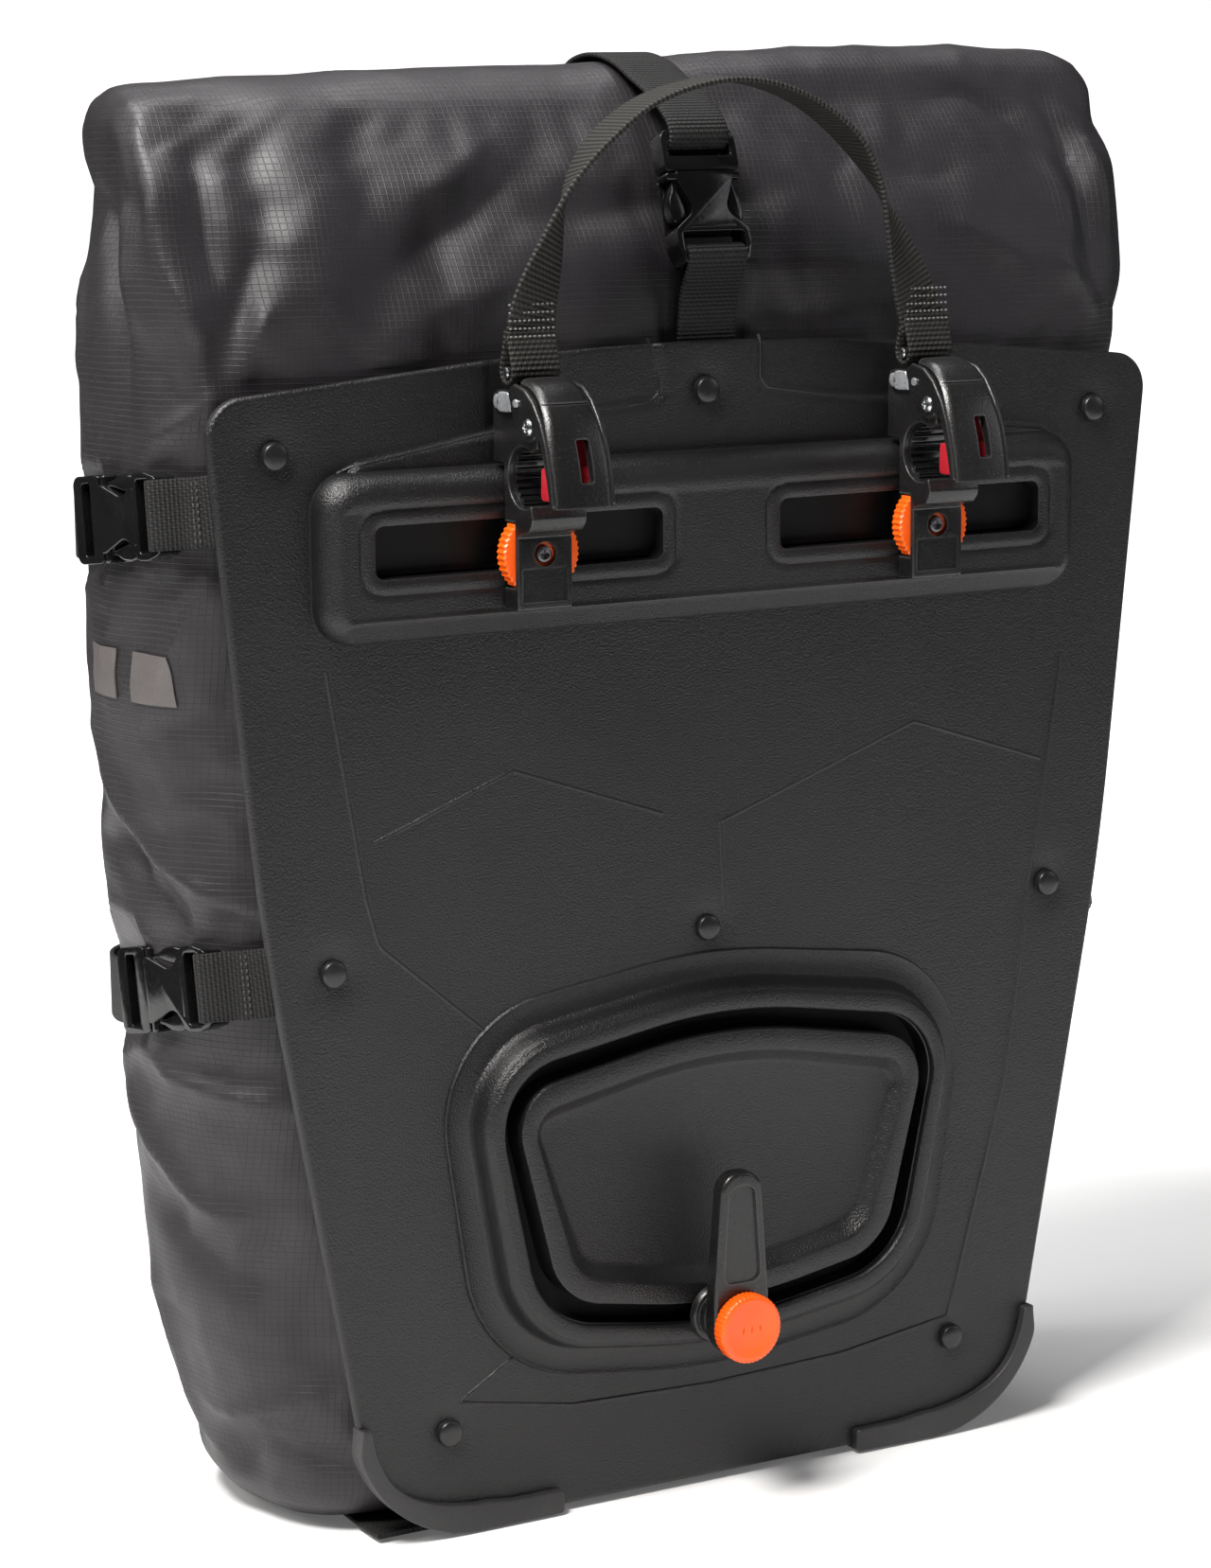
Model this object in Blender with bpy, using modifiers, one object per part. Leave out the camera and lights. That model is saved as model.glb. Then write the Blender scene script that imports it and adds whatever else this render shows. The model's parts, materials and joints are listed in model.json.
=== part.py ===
"""Pannier bag with a moulded back plate, two rail hooks, a carrying handle and a lower stay hook.

Metres, +Z up. The back plate (the side that faces the rack) looks along -Y. Positions of the parts are
given in the plate's frame: x across, y into the bag, z up, with its zero on the plate's front face at the
middle row of rivets. The root empty moves that frame to the part's origin, the centre of its foot print.
"""
import math

import bmesh
import bpy
from mathutils import Matrix, Vector

# ---------------------------------------------------------------- driving dimensions (metres)
PLATE_FRONT_Y = -0.0410         # plate front face, measured from the part's origin
RIVET_ROW_Z = 0.2190            # middle rivets above the ground
TOUCH = 0.0003                  # gap between pieces that touch

PLATE_THICK = 0.0040
PLATE_TOP = 0.2228              # where the arched top edge's two tangents meet
PLATE_BOTTOM = -0.2166
POD_DEPTH = 0.0120              # how far the rail pod stands out of the plate
POD_HALF = 0.1620
POD_LOW, POD_HIGH = 0.1170, 0.1780
SLOT_Z = 0.1500                 # rail slots
SLOT_HALF_HEIGHT = 0.0095
SLOT_CORNER = 0.0035
SLOT_INNER_X, SLOT_OUTER_X = 0.0250, 0.1420
RAIL_HALF = 0.1500

TRACK_DEPTH = 0.0130            # raised ring that carries the lower hook
TRACK_HALF, TRACK_TOP, TRACK_LOW = 0.0990, -0.0286, -0.1533   # tangents of the slot's outer edge
TRACK_SLOT = 0.0074
TRACK_ARCH = 0.2000             # radius of the slot's outer edge along its top and bottom
TRACK_SHOULDER, TRACK_TOE = 0.0260, 0.0330   # its upper and lower corners

HOOK_X = {"left": -0.0805, "right": 0.0875}
HOOK_HALF = 0.0110
TUBE_Y, TUBE_Z, TUBE_R = -0.0260, 0.1750, 0.0110
WHEEL_Z, WHEEL_R = 0.1470, 0.0155
WHEEL_BACK, WHEEL_FRONT = -0.0134, -0.0196
HANDLE_PIN = (-0.0120, 0.2110)   # y and z
HANDLE_ARCH = [   # x and z along the webbing between the two hooks
    (-0.0805, 0.2158), (-0.0804, 0.2200), (-0.0788, 0.2330), (-0.0722, 0.2525), (-0.0640, 0.2750), (-0.0505, 0.2925),
    (-0.0290, 0.3062), (0.0000, 0.3122), (0.0260, 0.3078), (0.0485, 0.2950), (0.0640, 0.2770), (0.0745, 0.2545),
    (0.0822, 0.2350), (0.0873, 0.2200), (0.0875, 0.2158)]

ARM_AXIS = (-0.0050, -0.1471)   # lower hook: x and z of its stem
ARM_BACK, ARM_FRONT = -0.0250, -0.0325

WEB_STRAP, WEB_HANDLE = 0.0250, 0.0200
WEB_THICK = 0.0018
STRAP_SLOPE = {"upper": math.radians(-7.0), "lower": math.radians(-10.3)}
SIDE_STRAP_Z = {"upper": 0.1661, "lower": -0.0035}
SIDE_STRAP_X = {("upper", "left"): 0.1945, ("lower", "left"): 0.1795,   # where a strap meets the plate's edge
                ("upper", "right"): 0.1970, ("lower", "right"): 0.1815}
STRAP_YAW = {("upper", "left"): math.radians(13.3), ("lower", "left"): math.radians(17.0),   # follows the wall
             ("upper", "right"): math.radians(5.0), ("lower", "right"): math.radians(8.0)}
BUCKLE_START = 0.0200           # side buckles, from the plate's edge along the strap
BUCKLE_END = 0.0475             # length of a closed buckle up to its strap

BAG_BACK = 0.1310               # outer face of the packed bag


# ---------------------------------------------------------------- scene helpers
def clear_scene():
    for obj in list(bpy.data.objects):
        bpy.data.objects.remove(obj, do_unlink=True)


def collection(name):
    made = bpy.data.collections.new(name)
    bpy.context.scene.collection.children.link(made)
    return made


def material(name, colour, roughness, metallic=0.0):
    made = bpy.data.materials.new(name)
    made.use_nodes = True
    shader = made.node_tree.nodes["Principled BSDF"]
    shader.inputs["Base Color"].default_value = (*colour, 1.0)
    shader.inputs["Roughness"].default_value = roughness
    shader.inputs["Metallic"].default_value = metallic
    return made


def own_material(obj, look):
    """Each sub-part carries its own copy of the look that it shares with its kind."""
    made = look.copy()
    made.name = obj.name + "_material"
    obj.data.materials.clear()
    obj.data.materials.append(made)


def place(obj, where, look=None):
    """Link obj into a collection, under the root empty; a look makes it a part, none a cutter."""
    for home in list(obj.users_collection):
        home.objects.unlink(obj)
    where.objects.link(obj)
    obj.parent = root
    if look is None:
        obj.hide_render = True
        obj.display_type = 'WIRE'
    else:
        own_material(obj, look)
    return obj


def pivot(obj, point):
    """Moves an object's origin to a point on its joint's axis, and leaves its shape where it is."""
    obj.data.transform(Matrix.Translation(-Vector(point)))
    obj.location = point
    return obj


def from_bmesh(name, work):
    bmesh.ops.recalc_face_normals(work, faces=work.faces)
    mesh = bpy.data.meshes.new(name)
    work.to_mesh(mesh)
    work.free()
    return bpy.data.objects.new(name, mesh)


def box(name, low, high, bevel=0.0, segments=2):
    work = bmesh.new()
    bmesh.ops.create_cube(work, size=1.0)
    size = Vector(high) - Vector(low)
    centre = (Vector(high) + Vector(low)) / 2
    bmesh.ops.transform(work, matrix=Matrix.Translation(centre) @ Matrix.Diagonal((*size, 1.0)),
                        verts=work.verts)
    obj = from_bmesh(name, work)
    if bevel:
        round_edges(obj, bevel, segments)
    return obj


AXIS_TURN = {"x": Matrix.Rotation(math.pi / 2, 4, 'Y'), "y": Matrix.Rotation(-math.pi / 2, 4, 'X'),
             "z": Matrix.Identity(4)}


def cylinder(name, axis, radius, start, length, sides=24):
    """A cylinder that starts at the point start and runs length along +axis."""
    work = bmesh.new()
    bmesh.ops.create_cone(work, cap_ends=True, segments=sides, radius1=radius,
                          radius2=radius, depth=length)
    turn = AXIS_TURN[axis]
    middle = Vector(start) + turn @ Vector((0, 0, length / 2))
    bmesh.ops.transform(work, matrix=Matrix.Translation(middle) @ turn, verts=work.verts)
    return from_bmesh(name, work)


def round_edges(obj, width, segments=2, angle=35.0):
    bevel = obj.modifiers.new("rounded", 'BEVEL')
    bevel.width = width
    bevel.segments = segments
    bevel.limit_method = 'ANGLE'
    bevel.angle_limit = math.radians(angle)
    return obj


def boolean(obj, other, operation='DIFFERENCE'):
    step = obj.modifiers.new(operation.lower(), 'BOOLEAN')
    step.operation = operation
    step.object = other
    step.solver = 'EXACT'
    return obj


def smooth(obj, angle=35.0):
    obj.data.shade_smooth()
    obj.data.set_sharp_from_angle(angle=math.radians(angle))
    return obj


def fillet(corners, segments=6):
    """Closed outline through (u, v, radius) corners, each one rounded by an arc."""
    outline = []
    count = len(corners)
    for i, (u, v, radius) in enumerate(corners):
        here = Vector((u, v))
        back = (Vector(corners[i - 1][:2]) - here).normalized()
        ahead = (Vector(corners[(i + 1) % count][:2]) - here).normalized()
        half = math.acos(max(-1.0, min(1.0, back.dot(ahead)))) / 2
        if radius <= 0.0 or half > math.radians(89.5):
            outline.append(here)
            continue
        reach = radius / math.tan(half)
        centre = here + (back + ahead).normalized() * (radius / math.sin(half))
        first = here + back * reach - centre
        last = here + ahead * reach - centre
        sweep = first.angle_signed(last)
        for k in range(segments + 1):
            outline.append(centre + Matrix.Rotation(-sweep * k / segments, 2) @ first)
    return outline


def mirrored(half):
    """Corners of a left-right symmetric outline from those of its right half, top to bottom."""
    return list(half) + [(-u, v, r) for u, v, r in reversed(half) if abs(u) > 1e-9]


def slab(name, outlines, y_front, y_back):
    """Flat outlines in the x-z plane, the first one outside and the others holes, as thick as asked."""
    curve = bpy.data.curves.new(name, 'CURVE')
    curve.dimensions = '2D'
    curve.fill_mode = 'BOTH'
    curve.extrude = abs(y_back - y_front) / 2
    for outline in outlines:
        spline = curve.splines.new('POLY')
        spline.points.add(len(outline) - 1)
        spline.use_cyclic_u = True
        for point, (u, v) in zip(spline.points, outline):
            point.co = (u, v, 0.0, 1.0)
    guide = bpy.data.objects.new(name + "_outline", curve)
    turn = Matrix.Translation((0, (y_front + y_back) / 2, 0)) @ Matrix.Rotation(math.pi / 2, 4, 'X')
    return solid_from_curve(name, guide, turn)


def side_slab(name, outline, x_left, x_right):
    """An outline of (y, z) points, as wide as asked along x."""
    curve = bpy.data.curves.new(name, 'CURVE')
    curve.dimensions = '2D'
    curve.fill_mode = 'BOTH'
    curve.extrude = abs(x_right - x_left) / 2
    spline = curve.splines.new('POLY')
    spline.points.add(len(outline) - 1)
    spline.use_cyclic_u = True
    for point, (u, v) in zip(spline.points, outline):
        point.co = (u, v, 0.0, 1.0)
    guide = bpy.data.objects.new(name + "_outline", curve)
    turn = Matrix(((0, 0, 1, (x_left + x_right) / 2), (1, 0, 0, 0), (0, 1, 0, 0), (0, 0, 0, 1)))
    return solid_from_curve(name, guide, turn)


def solid_from_curve(name, guide, turn):
    """The closed mesh of a filled curve, its caps welded on, in the plate's frame."""
    bpy.context.scene.collection.objects.link(guide)
    bpy.context.view_layer.update()
    mesh = bpy.data.meshes.new_from_object(guide.evaluated_get(bpy.context.evaluated_depsgraph_get()))
    work = bmesh.new()
    work.from_mesh(mesh)
    bpy.data.meshes.remove(mesh)
    bpy.data.objects.remove(guide, do_unlink=True)
    bmesh.ops.remove_doubles(work, verts=work.verts, dist=0.00001)
    bmesh.ops.transform(work, matrix=turn, verts=work.verts)
    return from_bmesh(name, work)


def loft(name, loops, capped=True):
    """Skin through loops of equal length; capped at both ends, or closed round as a ring."""
    work = bmesh.new()
    rows = [[work.verts.new(point) for point in loop] for loop in loops]
    count = len(rows[0])
    pairs = list(zip(rows, rows[1:])) + ([] if capped else [(rows[-1], rows[0])])
    for row, after in pairs:
        for i in range(count):
            k = (i + 1) % count
            work.faces.new((row[i], row[k], after[k], after[i]))
    if capped:
        work.faces.new(rows[0])
        work.faces.new(rows[-1])
    return from_bmesh(name, work)


def ribbon(name, path, across, width, thick=WEB_THICK):
    """Webbing: a strip along path, as wide as asked, made solid. across is one direction or one a point."""
    work = bmesh.new()
    sides = across if isinstance(across, list) else [across] * len(path)
    rows = []
    for point, side in zip(path, sides):
        step = Vector(side).normalized() * width / 2
        rows.append((work.verts.new(Vector(point) - step), work.verts.new(Vector(point) + step)))
    for (a, b), (c, d) in zip(rows, rows[1:]):
        work.faces.new((a, b, d, c))
    obj = from_bmesh(name, work)
    solid = obj.modifiers.new("thickness", 'SOLIDIFY')
    solid.thickness = thick
    solid.offset = 0.0
    solid.use_even_offset = True
    return obj


def smooth_path(points, steps=6):
    """A smooth run through hand-chosen points (Catmull-Rom)."""
    ends = [2 * Vector(points[0]) - Vector(points[1])] + [Vector(p) for p in points]
    ends.append(2 * Vector(points[-1]) - Vector(points[-2]))
    run = []
    for a, b, c, d in zip(ends, ends[1:], ends[2:], ends[3:]):
        for k in range(steps):
            t = k / steps
            run.append(0.5 * (2 * b + (c - a) * t + (2 * a - 5 * b + 4 * c - d) * t * t
                              + (3 * b - a - 3 * c + d) * t ** 3))
    run.append(Vector(points[-1]))
    return run


# ---------------------------------------------------------------- back plate
def plate_corners(grow=0.0):
    """Right half of the plate's outline, grown outward by a distance."""
    return mirrored([(0.0, PLATE_TOP + grow, 1.2), (0.2012 + grow, 0.2045 + grow, 0.014 + grow),
                     (0.1820 + grow, 0.0100, 1.0), (0.1410 + grow, PLATE_BOTTOM - grow, 0.048 + grow)])


def slot_outline(x_low, x_high):
    low, high = SLOT_Z - SLOT_HALF_HEIGHT, SLOT_Z + SLOT_HALF_HEIGHT
    return fillet([(x_low, low, SLOT_CORNER), (x_high, low, SLOT_CORNER),
                   (x_high, high, SLOT_CORNER), (x_low, high, SLOT_CORNER)], 4)


def pod_loop(grow, y):
    half, low, high = POD_HALF + grow, POD_LOW - grow, POD_HIGH + grow
    corner = 0.014
    outline = fillet([(-half, low, corner), (half, low, corner), (half, high, corner),
                      (-half, high, corner)], 5)
    return [(u, y, v) for u, v in outline]


def back_plate():
    plate = slab("back_plate", [fillet(plate_corners())], 0.0, PLATE_THICK)
    pod = loft("pod_form", [pod_loop(0.0, 0.001), pod_loop(0.0, -0.002), pod_loop(-0.0015, -0.0075),
                            pod_loop(-0.0050, -0.0110), pod_loop(-0.0080, -POD_DEPTH)])
    place(pod, cutters)
    boolean(plate, pod, 'UNION')
    channel = box("rail_channel", (-RAIL_HALF - 0.001, -0.0040, SLOT_Z - 0.0098),
                  (RAIL_HALF + 0.001, 0.0060, SLOT_Z + 0.0098))
    boolean(plate, place(channel, cutters))
    for side in (-1, 1):
        ends = sorted((side * SLOT_INNER_X, side * SLOT_OUTER_X))
        window = slab("slot_cut_%d" % (side + 1), [slot_outline(*ends)],
                      -0.0200, -0.0030)
        boolean(plate, place(window, cutters))
    return place(plate, parts, looks["plate"])


def hook_rail():
    """Aluminium rail in the channel behind the two slots."""
    rail = box("hook_rail", (-RAIL_HALF, -0.0036, SLOT_Z - 0.0093), (RAIL_HALF, 0.0036, SLOT_Z + 0.0093),
               0.0008, 1)
    return place(rail, parts, looks["aluminium"])


def shield(grow, y):
    """The lower track's outline: a shield with an arched top, offset from the slot's outer edge."""
    half, top, low = TRACK_HALF + grow, TRACK_TOP + grow, TRACK_LOW - grow
    arch = TRACK_ARCH + grow
    outline = fillet(mirrored([(0.0, top, arch), (half, top - 0.0165, TRACK_SHOULDER + grow),
                               (half - 0.0200, low + 0.0125, TRACK_TOE + grow), (0.0, low, arch)]), 5)
    return [(u, y, v) for u, v in outline]


def lower_track():
    rise = -TRACK_DEPTH
    loops = [shield(0.0175, -TOUCH), shield(0.0160, -0.0040), shield(0.0080, rise + 0.0010),
             shield(0.0050, rise), shield(0.0, rise), shield(0.0, -TOUCH)]
    return place(smooth(loft("lower_hook_track", loops, capped=False)), parts, looks["plate"])


def track_island():
    inner = -TRACK_SLOT
    rise = -TRACK_DEPTH
    loops = [shield(inner, -TOUCH), shield(inner, rise + 0.0008), shield(inner - 0.0008, rise),
             shield(inner - 0.0080, rise), shield(inner - 0.0105, rise + 0.0055)]
    return place(smooth(loft("track_island", loops)), parts, looks["plate"])


RIVETS = {"top_left": (-0.175, 0.185), "top_middle": (0.0, 0.200), "top_right": (0.175, 0.185),
          "middle_left": (-0.156, -0.001), "centre": (0.0, -0.0015), "middle_right": (0.156, -0.001),
          "bottom_left": (-0.112, -0.180), "bottom_right": (0.112, -0.180)}


def rivets():
    for name, (x, z) in RIVETS.items():
        head = [(-TOUCH, 0.0048), (-0.0009, 0.0047), (-0.0018, 0.0036), (-0.0022, 0.0018)]
        loops = [[(x + r * math.cos(a), y, z + r * math.sin(a))
                  for a in (2 * math.pi * k / 14 for k in range(14))] for y, r in head]
        place(smooth(loft("rivet_" + name, loops)), parts, looks["black_plastic"])


def corner_guards():
    """Bumpers round the plate's lower corners, each with a foot under the bag."""
    for side, name in ((-1, "left"), (1, "right")):
        start, stop = math.radians(4.0), math.radians(-93.0)
        centre_x, centre_z, radius = 0.1005, -0.1686, 0.0480
        turn = [start + (stop - start) * k / 12 for k in range(13)]
        outer = [(centre_x + (radius + 0.0042) * math.cos(a), centre_z + (radius + 0.0024) * math.sin(a))
                 for a in turn]
        inner = [(centre_x + (radius - 0.0060) * math.cos(a), centre_z + (radius - 0.0060) * math.sin(a))
                 for a in turn]
        outer += [(0.0665, -0.2186), (0.0665, -0.2106)]
        band = fillet([(u, v, 0.0) for u, v in outer + inner[::-1]])
        if side < 0:
            band = [(-u, v) for u, v in band][::-1]
        guard = slab("corner_guard_" + name, [band], -0.0038, 0.0045)
        seat = slab("guard_seat_" + name, [fillet(plate_corners(TOUCH))], -TOUCH, PLATE_THICK + TOUCH)
        boolean(guard, place(seat, cutters))
        foot_x = sorted((side * 0.0670, side * 0.1120))
        foot = box("guard_foot_" + name, (foot_x[0], 0.0006, -0.2190), (foot_x[1], 0.0240, -0.2172))
        boolean(guard, place(foot, cutters), 'UNION')
        place(guard, parts, looks["guard"])


# ---------------------------------------------------------------- bag
BAG_SECTIONS = [   # z, y of the rack side and the outer side, then each side wall's x at its front, middle, back
    (-0.2188, 0.0300, 0.1080, (0.1480, 0.1600, 0.1500), (0.1480, 0.1540, 0.1440)),
    (-0.2100, 0.0100, 0.1235, (0.1500, 0.1730, 0.1590), (0.1500, 0.1590, 0.1510)),
    (-0.1300, 0.0068, 0.1300, (0.1570, 0.1950, 0.1740), (0.1570, 0.1720, 0.1640)),
    (-0.0200, 0.0068, BAG_BACK, (0.1765, 0.2025, 0.1880), (0.1765, 0.1880, 0.1800)),
    (0.1000, 0.0068, BAG_BACK, (0.1880, 0.2125, 0.1970), (0.1880, 0.2000, 0.1920)),
    (0.1900, 0.0068, 0.1310, (0.1955, 0.2105, 0.1960), (0.1960, 0.2070, 0.1970)),
    (0.2350, 0.0080, 0.1240, (0.2010, 0.2140, 0.1980), (0.2040, 0.2080, 0.2000)),
    (0.2780, 0.0200, 0.1080, (0.2050, 0.2120, 0.2000), (0.2060, 0.2080, 0.2000)),
    (0.3080, 0.0370, 0.0960, (0.2050, 0.2090, 0.2020), (0.2050, 0.2080, 0.2020)),
    (0.3220, 0.0500, 0.0800, (0.1990, 0.2010, 0.1980), (0.2000, 0.2010, 0.1980))]


def dry_bag():
    """Roll-top bag, packed and closed: sections lofted upward and softened by subdivision."""
    loops = []
    for z, y_rack, y_out, left, right in BAG_SECTIONS:
        depth = y_out - y_rack
        ring = []
        for side, (front, middle, back) in ((1, right), (-1, left)):
            wall = [(0.0, y_rack), (0.62 * front, y_rack), (front - 0.0080, y_rack), (front, y_rack + 0.08 * depth),
                    (middle, y_rack + 0.55 * depth), (back, y_rack + 0.90 * depth), (0.94 * back, y_out),
                    (0.60 * back, y_out), (0.0, y_out)]
            ring += [(side * u, v) for u, v in (wall[:-1] if side > 0 else wall[:0:-1])]
        loops.append([(u, v, z) for u, v in ring])
    bag = loft("dry_bag", loops)
    soften = bag.modifiers.new("soften", 'SUBSURF')
    soften.levels = soften.render_levels = 1
    return place(smooth(bag, 80), parts, looks["fabric"])


REFLECTOR_ROWS = {   # each side's z rows, with x at each of REFLECTOR_Y, just outside the fabric
    "left": [(0.0950, (0.1940, 0.2060, 0.2085)), (0.1170, (0.1960, 0.2070, 0.2085))],
    "right": [(0.0950, (0.1925, 0.1975, 0.1975)), (0.1170, (0.1945, 0.1990, 0.1985))]}
REFLECTOR_Y = (0.0260, 0.0560, 0.0860)
REFLECTOR_THICK = 0.0006


def reflectors():
    """Reflective patches near the front edge of each side wall, curved with it."""
    for side, name in ((-1, "left"), (1, "right")):
        loops = []
        for z, widths in REFLECTOR_ROWS[name]:
            inner = [(side * x, y, z) for x, y in zip(widths, REFLECTOR_Y)]
            outer = [(side * (x + REFLECTOR_THICK), y, z) for x, y in zip(widths, REFLECTOR_Y)]
            loops.append(inner + outer[::-1])
        place(loft("reflector_" + name, loops), parts, looks["reflective"])


def bottom_tab():
    tab = box("bottom_tab", (-0.1400, 0.0062, -0.2185), (-0.1180, 0.0220, -0.2166), 0.0006, 1)
    return place(tab, parts, looks["webbing"])


# ---------------------------------------------------------------- side-release buckles and straps
def buckle_pair(name, web, transform):
    """A closed side-release buckle along +y: the socket from y=0, its plug beyond; returns both."""
    half = web / 2 + 0.0031
    thick = 0.0100
    socket = slab(name + "_socket", [fillet([(-half, -0.001, 0.002), (half, -0.001, 0.002),
                                             (half, 0.009, 0.003), (half - 0.0042, 0.0130, 0.002),
                                             (half - 0.0042, 0.0200, 0.002), (half, 0.0250, 0.003),
                                             (half, 0.0310, 0.002), (-half, 0.0310, 0.002),
                                             (-half, 0.0250, 0.003), (-half + 0.0042, 0.0200, 0.002),
                                             (-half + 0.0042, 0.0130, 0.002), (-half, 0.009, 0.003)], 2)],
                  -thick / 2, thick / 2)
    mouth = box(name + "_mouth", (-half + 0.0034, -0.0032, 0.0100), (half - 0.0034, 0.0032, 0.0400))
    window = box(name + "_bar_window", (-web / 2 - 0.0008, -0.0100, 0.0018), (web / 2 + 0.0008, 0.0100, 0.0060))
    boolean(socket, place(mouth, cutters))
    boolean(socket, place(window, cutters))
    plug = slab(name + "_plug", [fillet([(-half + 0.0048, 0.0125, 0.0015), (half - 0.0048, 0.0125, 0.0015),
                                         (half - 0.0042, 0.0313, 0.0005), (half, 0.0316, 0.0010),
                                         (half, 0.0470, 0.0030), (-half, 0.0470, 0.0030),
                                         (-half, 0.0316, 0.0010), (-half + 0.0042, 0.0313, 0.0005)], 2)],
                -0.0029, 0.0029)
    slot = box(name + "_web_window", (-web / 2 - 0.0008, -0.0100, 0.0385), (web / 2 + 0.0008, 0.0100, 0.0430))
    boolean(plug, place(slot, cutters))
    for obj in (mouth, window, slot, socket, plug):
        obj.matrix_local = transform
    return place(socket, parts, looks["buckle"]), place(plug, parts, looks["buckle"])


def side_frame(side, level, name):
    """Maps a buckle's frame (x across the web, y thickness, z along it) onto the bag's side wall."""
    yaw, slope = STRAP_YAW[level, name], STRAP_SLOPE[level]
    along = Vector((side * math.sin(yaw), math.cos(yaw) * math.cos(slope), math.cos(yaw) * math.sin(slope)))
    out = Vector((side, 0, 0))
    out = (out - along * out.dot(along)).normalized()
    across = out.cross(along)
    edge = Vector((side * SIDE_STRAP_X[level, name], 0.0100, SIDE_STRAP_Z[level]))
    spot = edge + along * BUCKLE_START + out * 0.0062
    frame = Matrix.Identity(4)
    for column, axis in enumerate((across, out, along)):
        frame.col[column][:3] = axis
    frame.col[3][:3] = spot
    return frame, along, out, across, edge


BAND_CORNER_X = {("upper", "left"): 0.1995, ("lower", "left"): 0.1905,
                 ("upper", "right"): 0.1955, ("lower", "right"): 0.1835}
BAND_DROP = 0.0030              # from a band's ends down to its run over the outer face


def side_straps():
    for level in ("upper", "lower"):
        ends = {}
        for side, name in ((-1, "left"), (1, "right")):
            frame, along, out, across, edge = side_frame(side, level, name)
            buckle_pair("%s_%s_buckle" % (level, name), WEB_STRAP, frame)
            plate_x = SIDE_STRAP_X[level, name]
            inside = [Vector((side * (plate_x - inset), 0.0056, SIDE_STRAP_Z[level] + rise))
                      for inset, rise in ((0.0320, 0.0026), (0.0220, 0.0022), (0.0130, 0.0018))]
            path = inside + [edge + Vector((-side * 0.0030, -0.0025, 0.0008)),
                             edge + out * 0.0022 + along * 0.0050, edge + out * 0.0042 + along * 0.0110,
                             edge + out * 0.0062 + along * (BUCKLE_START - 0.0020)]
            run = smooth_path(path, 4)
            upright = Vector((0, 0, math.copysign(1.0, across.z)))
            inner_steps = 4 * len(inside)
            sides = [upright.lerp(across, min(1.0, max(0.0, (k - inner_steps + 3) / 8))) for k in range(len(run))]
            strap = ribbon("%s_%s_strap" % (level, name), run, sides, WEB_STRAP)
            place(strap, parts, looks["webbing"])
            end = edge + along * (BUCKLE_START + BUCKLE_END) + out * 0.0062
            ends[name] = (end + along * 0.0034, end + along * 0.0105 - out * 0.0022)
        left, right = ends["left"], ends["right"]
        height = left[1].z - BAND_DROP
        outer_y = BAG_BACK + 0.0022
        corners = {name: Vector((side * BAND_CORNER_X[level, name], 0.1270, height))
                   for side, name in ((-1, "left"), (1, "right"))}
        run = [left[0], left[1], corners["left"], Vector((-0.1750, outer_y, height)),
               Vector((-0.0900, outer_y, height)), Vector((0.0, outer_y, height)),
               Vector((0.0900, outer_y, height)), Vector((0.1680, outer_y, height)), corners["right"],
               right[1], right[0]]
        band = ribbon(level + "_band", smooth_path(run, 4), Vector((0, 0, 1)), WEB_STRAP)
        place(band, parts, looks["webbing"])


TOP_STRAP_X = 0.0030


def top_strap():
    """Closing strap over the rolled top, with its buckle above the plate."""
    tilt = math.atan2(0.0150, 0.0480)
    along = Vector((0, math.sin(tilt), math.cos(tilt)))
    out = Vector((0, -math.cos(tilt), math.sin(tilt)))
    frame = Matrix.Identity(4)
    for column, axis in enumerate((Vector((-1, 0, 0)), out, along)):
        frame.col[column][:3] = axis
    base = Vector((TOP_STRAP_X, 0.0020, 0.2480))
    frame.col[3][:3] = base
    buckle_pair("top_buckle", WEB_STRAP, frame)
    x = TOP_STRAP_X
    low = [(x, 0.0056, 0.1960), (x, 0.0056, 0.2140), (x, 0.0050, 0.2250), base + Vector((0, 0.0010, -0.0120)),
           base + along * -0.0022]
    place(ribbon("top_strap_lower", smooth_path(low, 4), (1, 0, 0), WEB_STRAP), parts, looks["webbing"])
    end = base + along * 0.0495
    over = [end, end + along * 0.012, (x, 0.0330, 0.3150), (x, 0.0520, 0.3278), (x, 0.0760, 0.3270),
            (x, 0.0960, 0.3130), (x, 0.1120, 0.2850), (x, 0.1250, 0.2480), (x, 0.1320, 0.2100),
            (x, 0.1345, 0.1850)]
    place(ribbon("top_strap_over", smooth_path(over, 4), (1, 0, 0), WEB_STRAP), parts, looks["webbing"])


# ---------------------------------------------------------------- rail hooks
def arc(centre, radius, first, last, steps):
    """Points (y, z) on an arc, angles in degrees."""
    return [(centre[0] + radius * math.cos(math.radians(first + (last - first) * k / steps)),
             centre[1] + radius * math.sin(math.radians(first + (last - first) * k / steps)))
            for k in range(steps + 1)]


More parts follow.
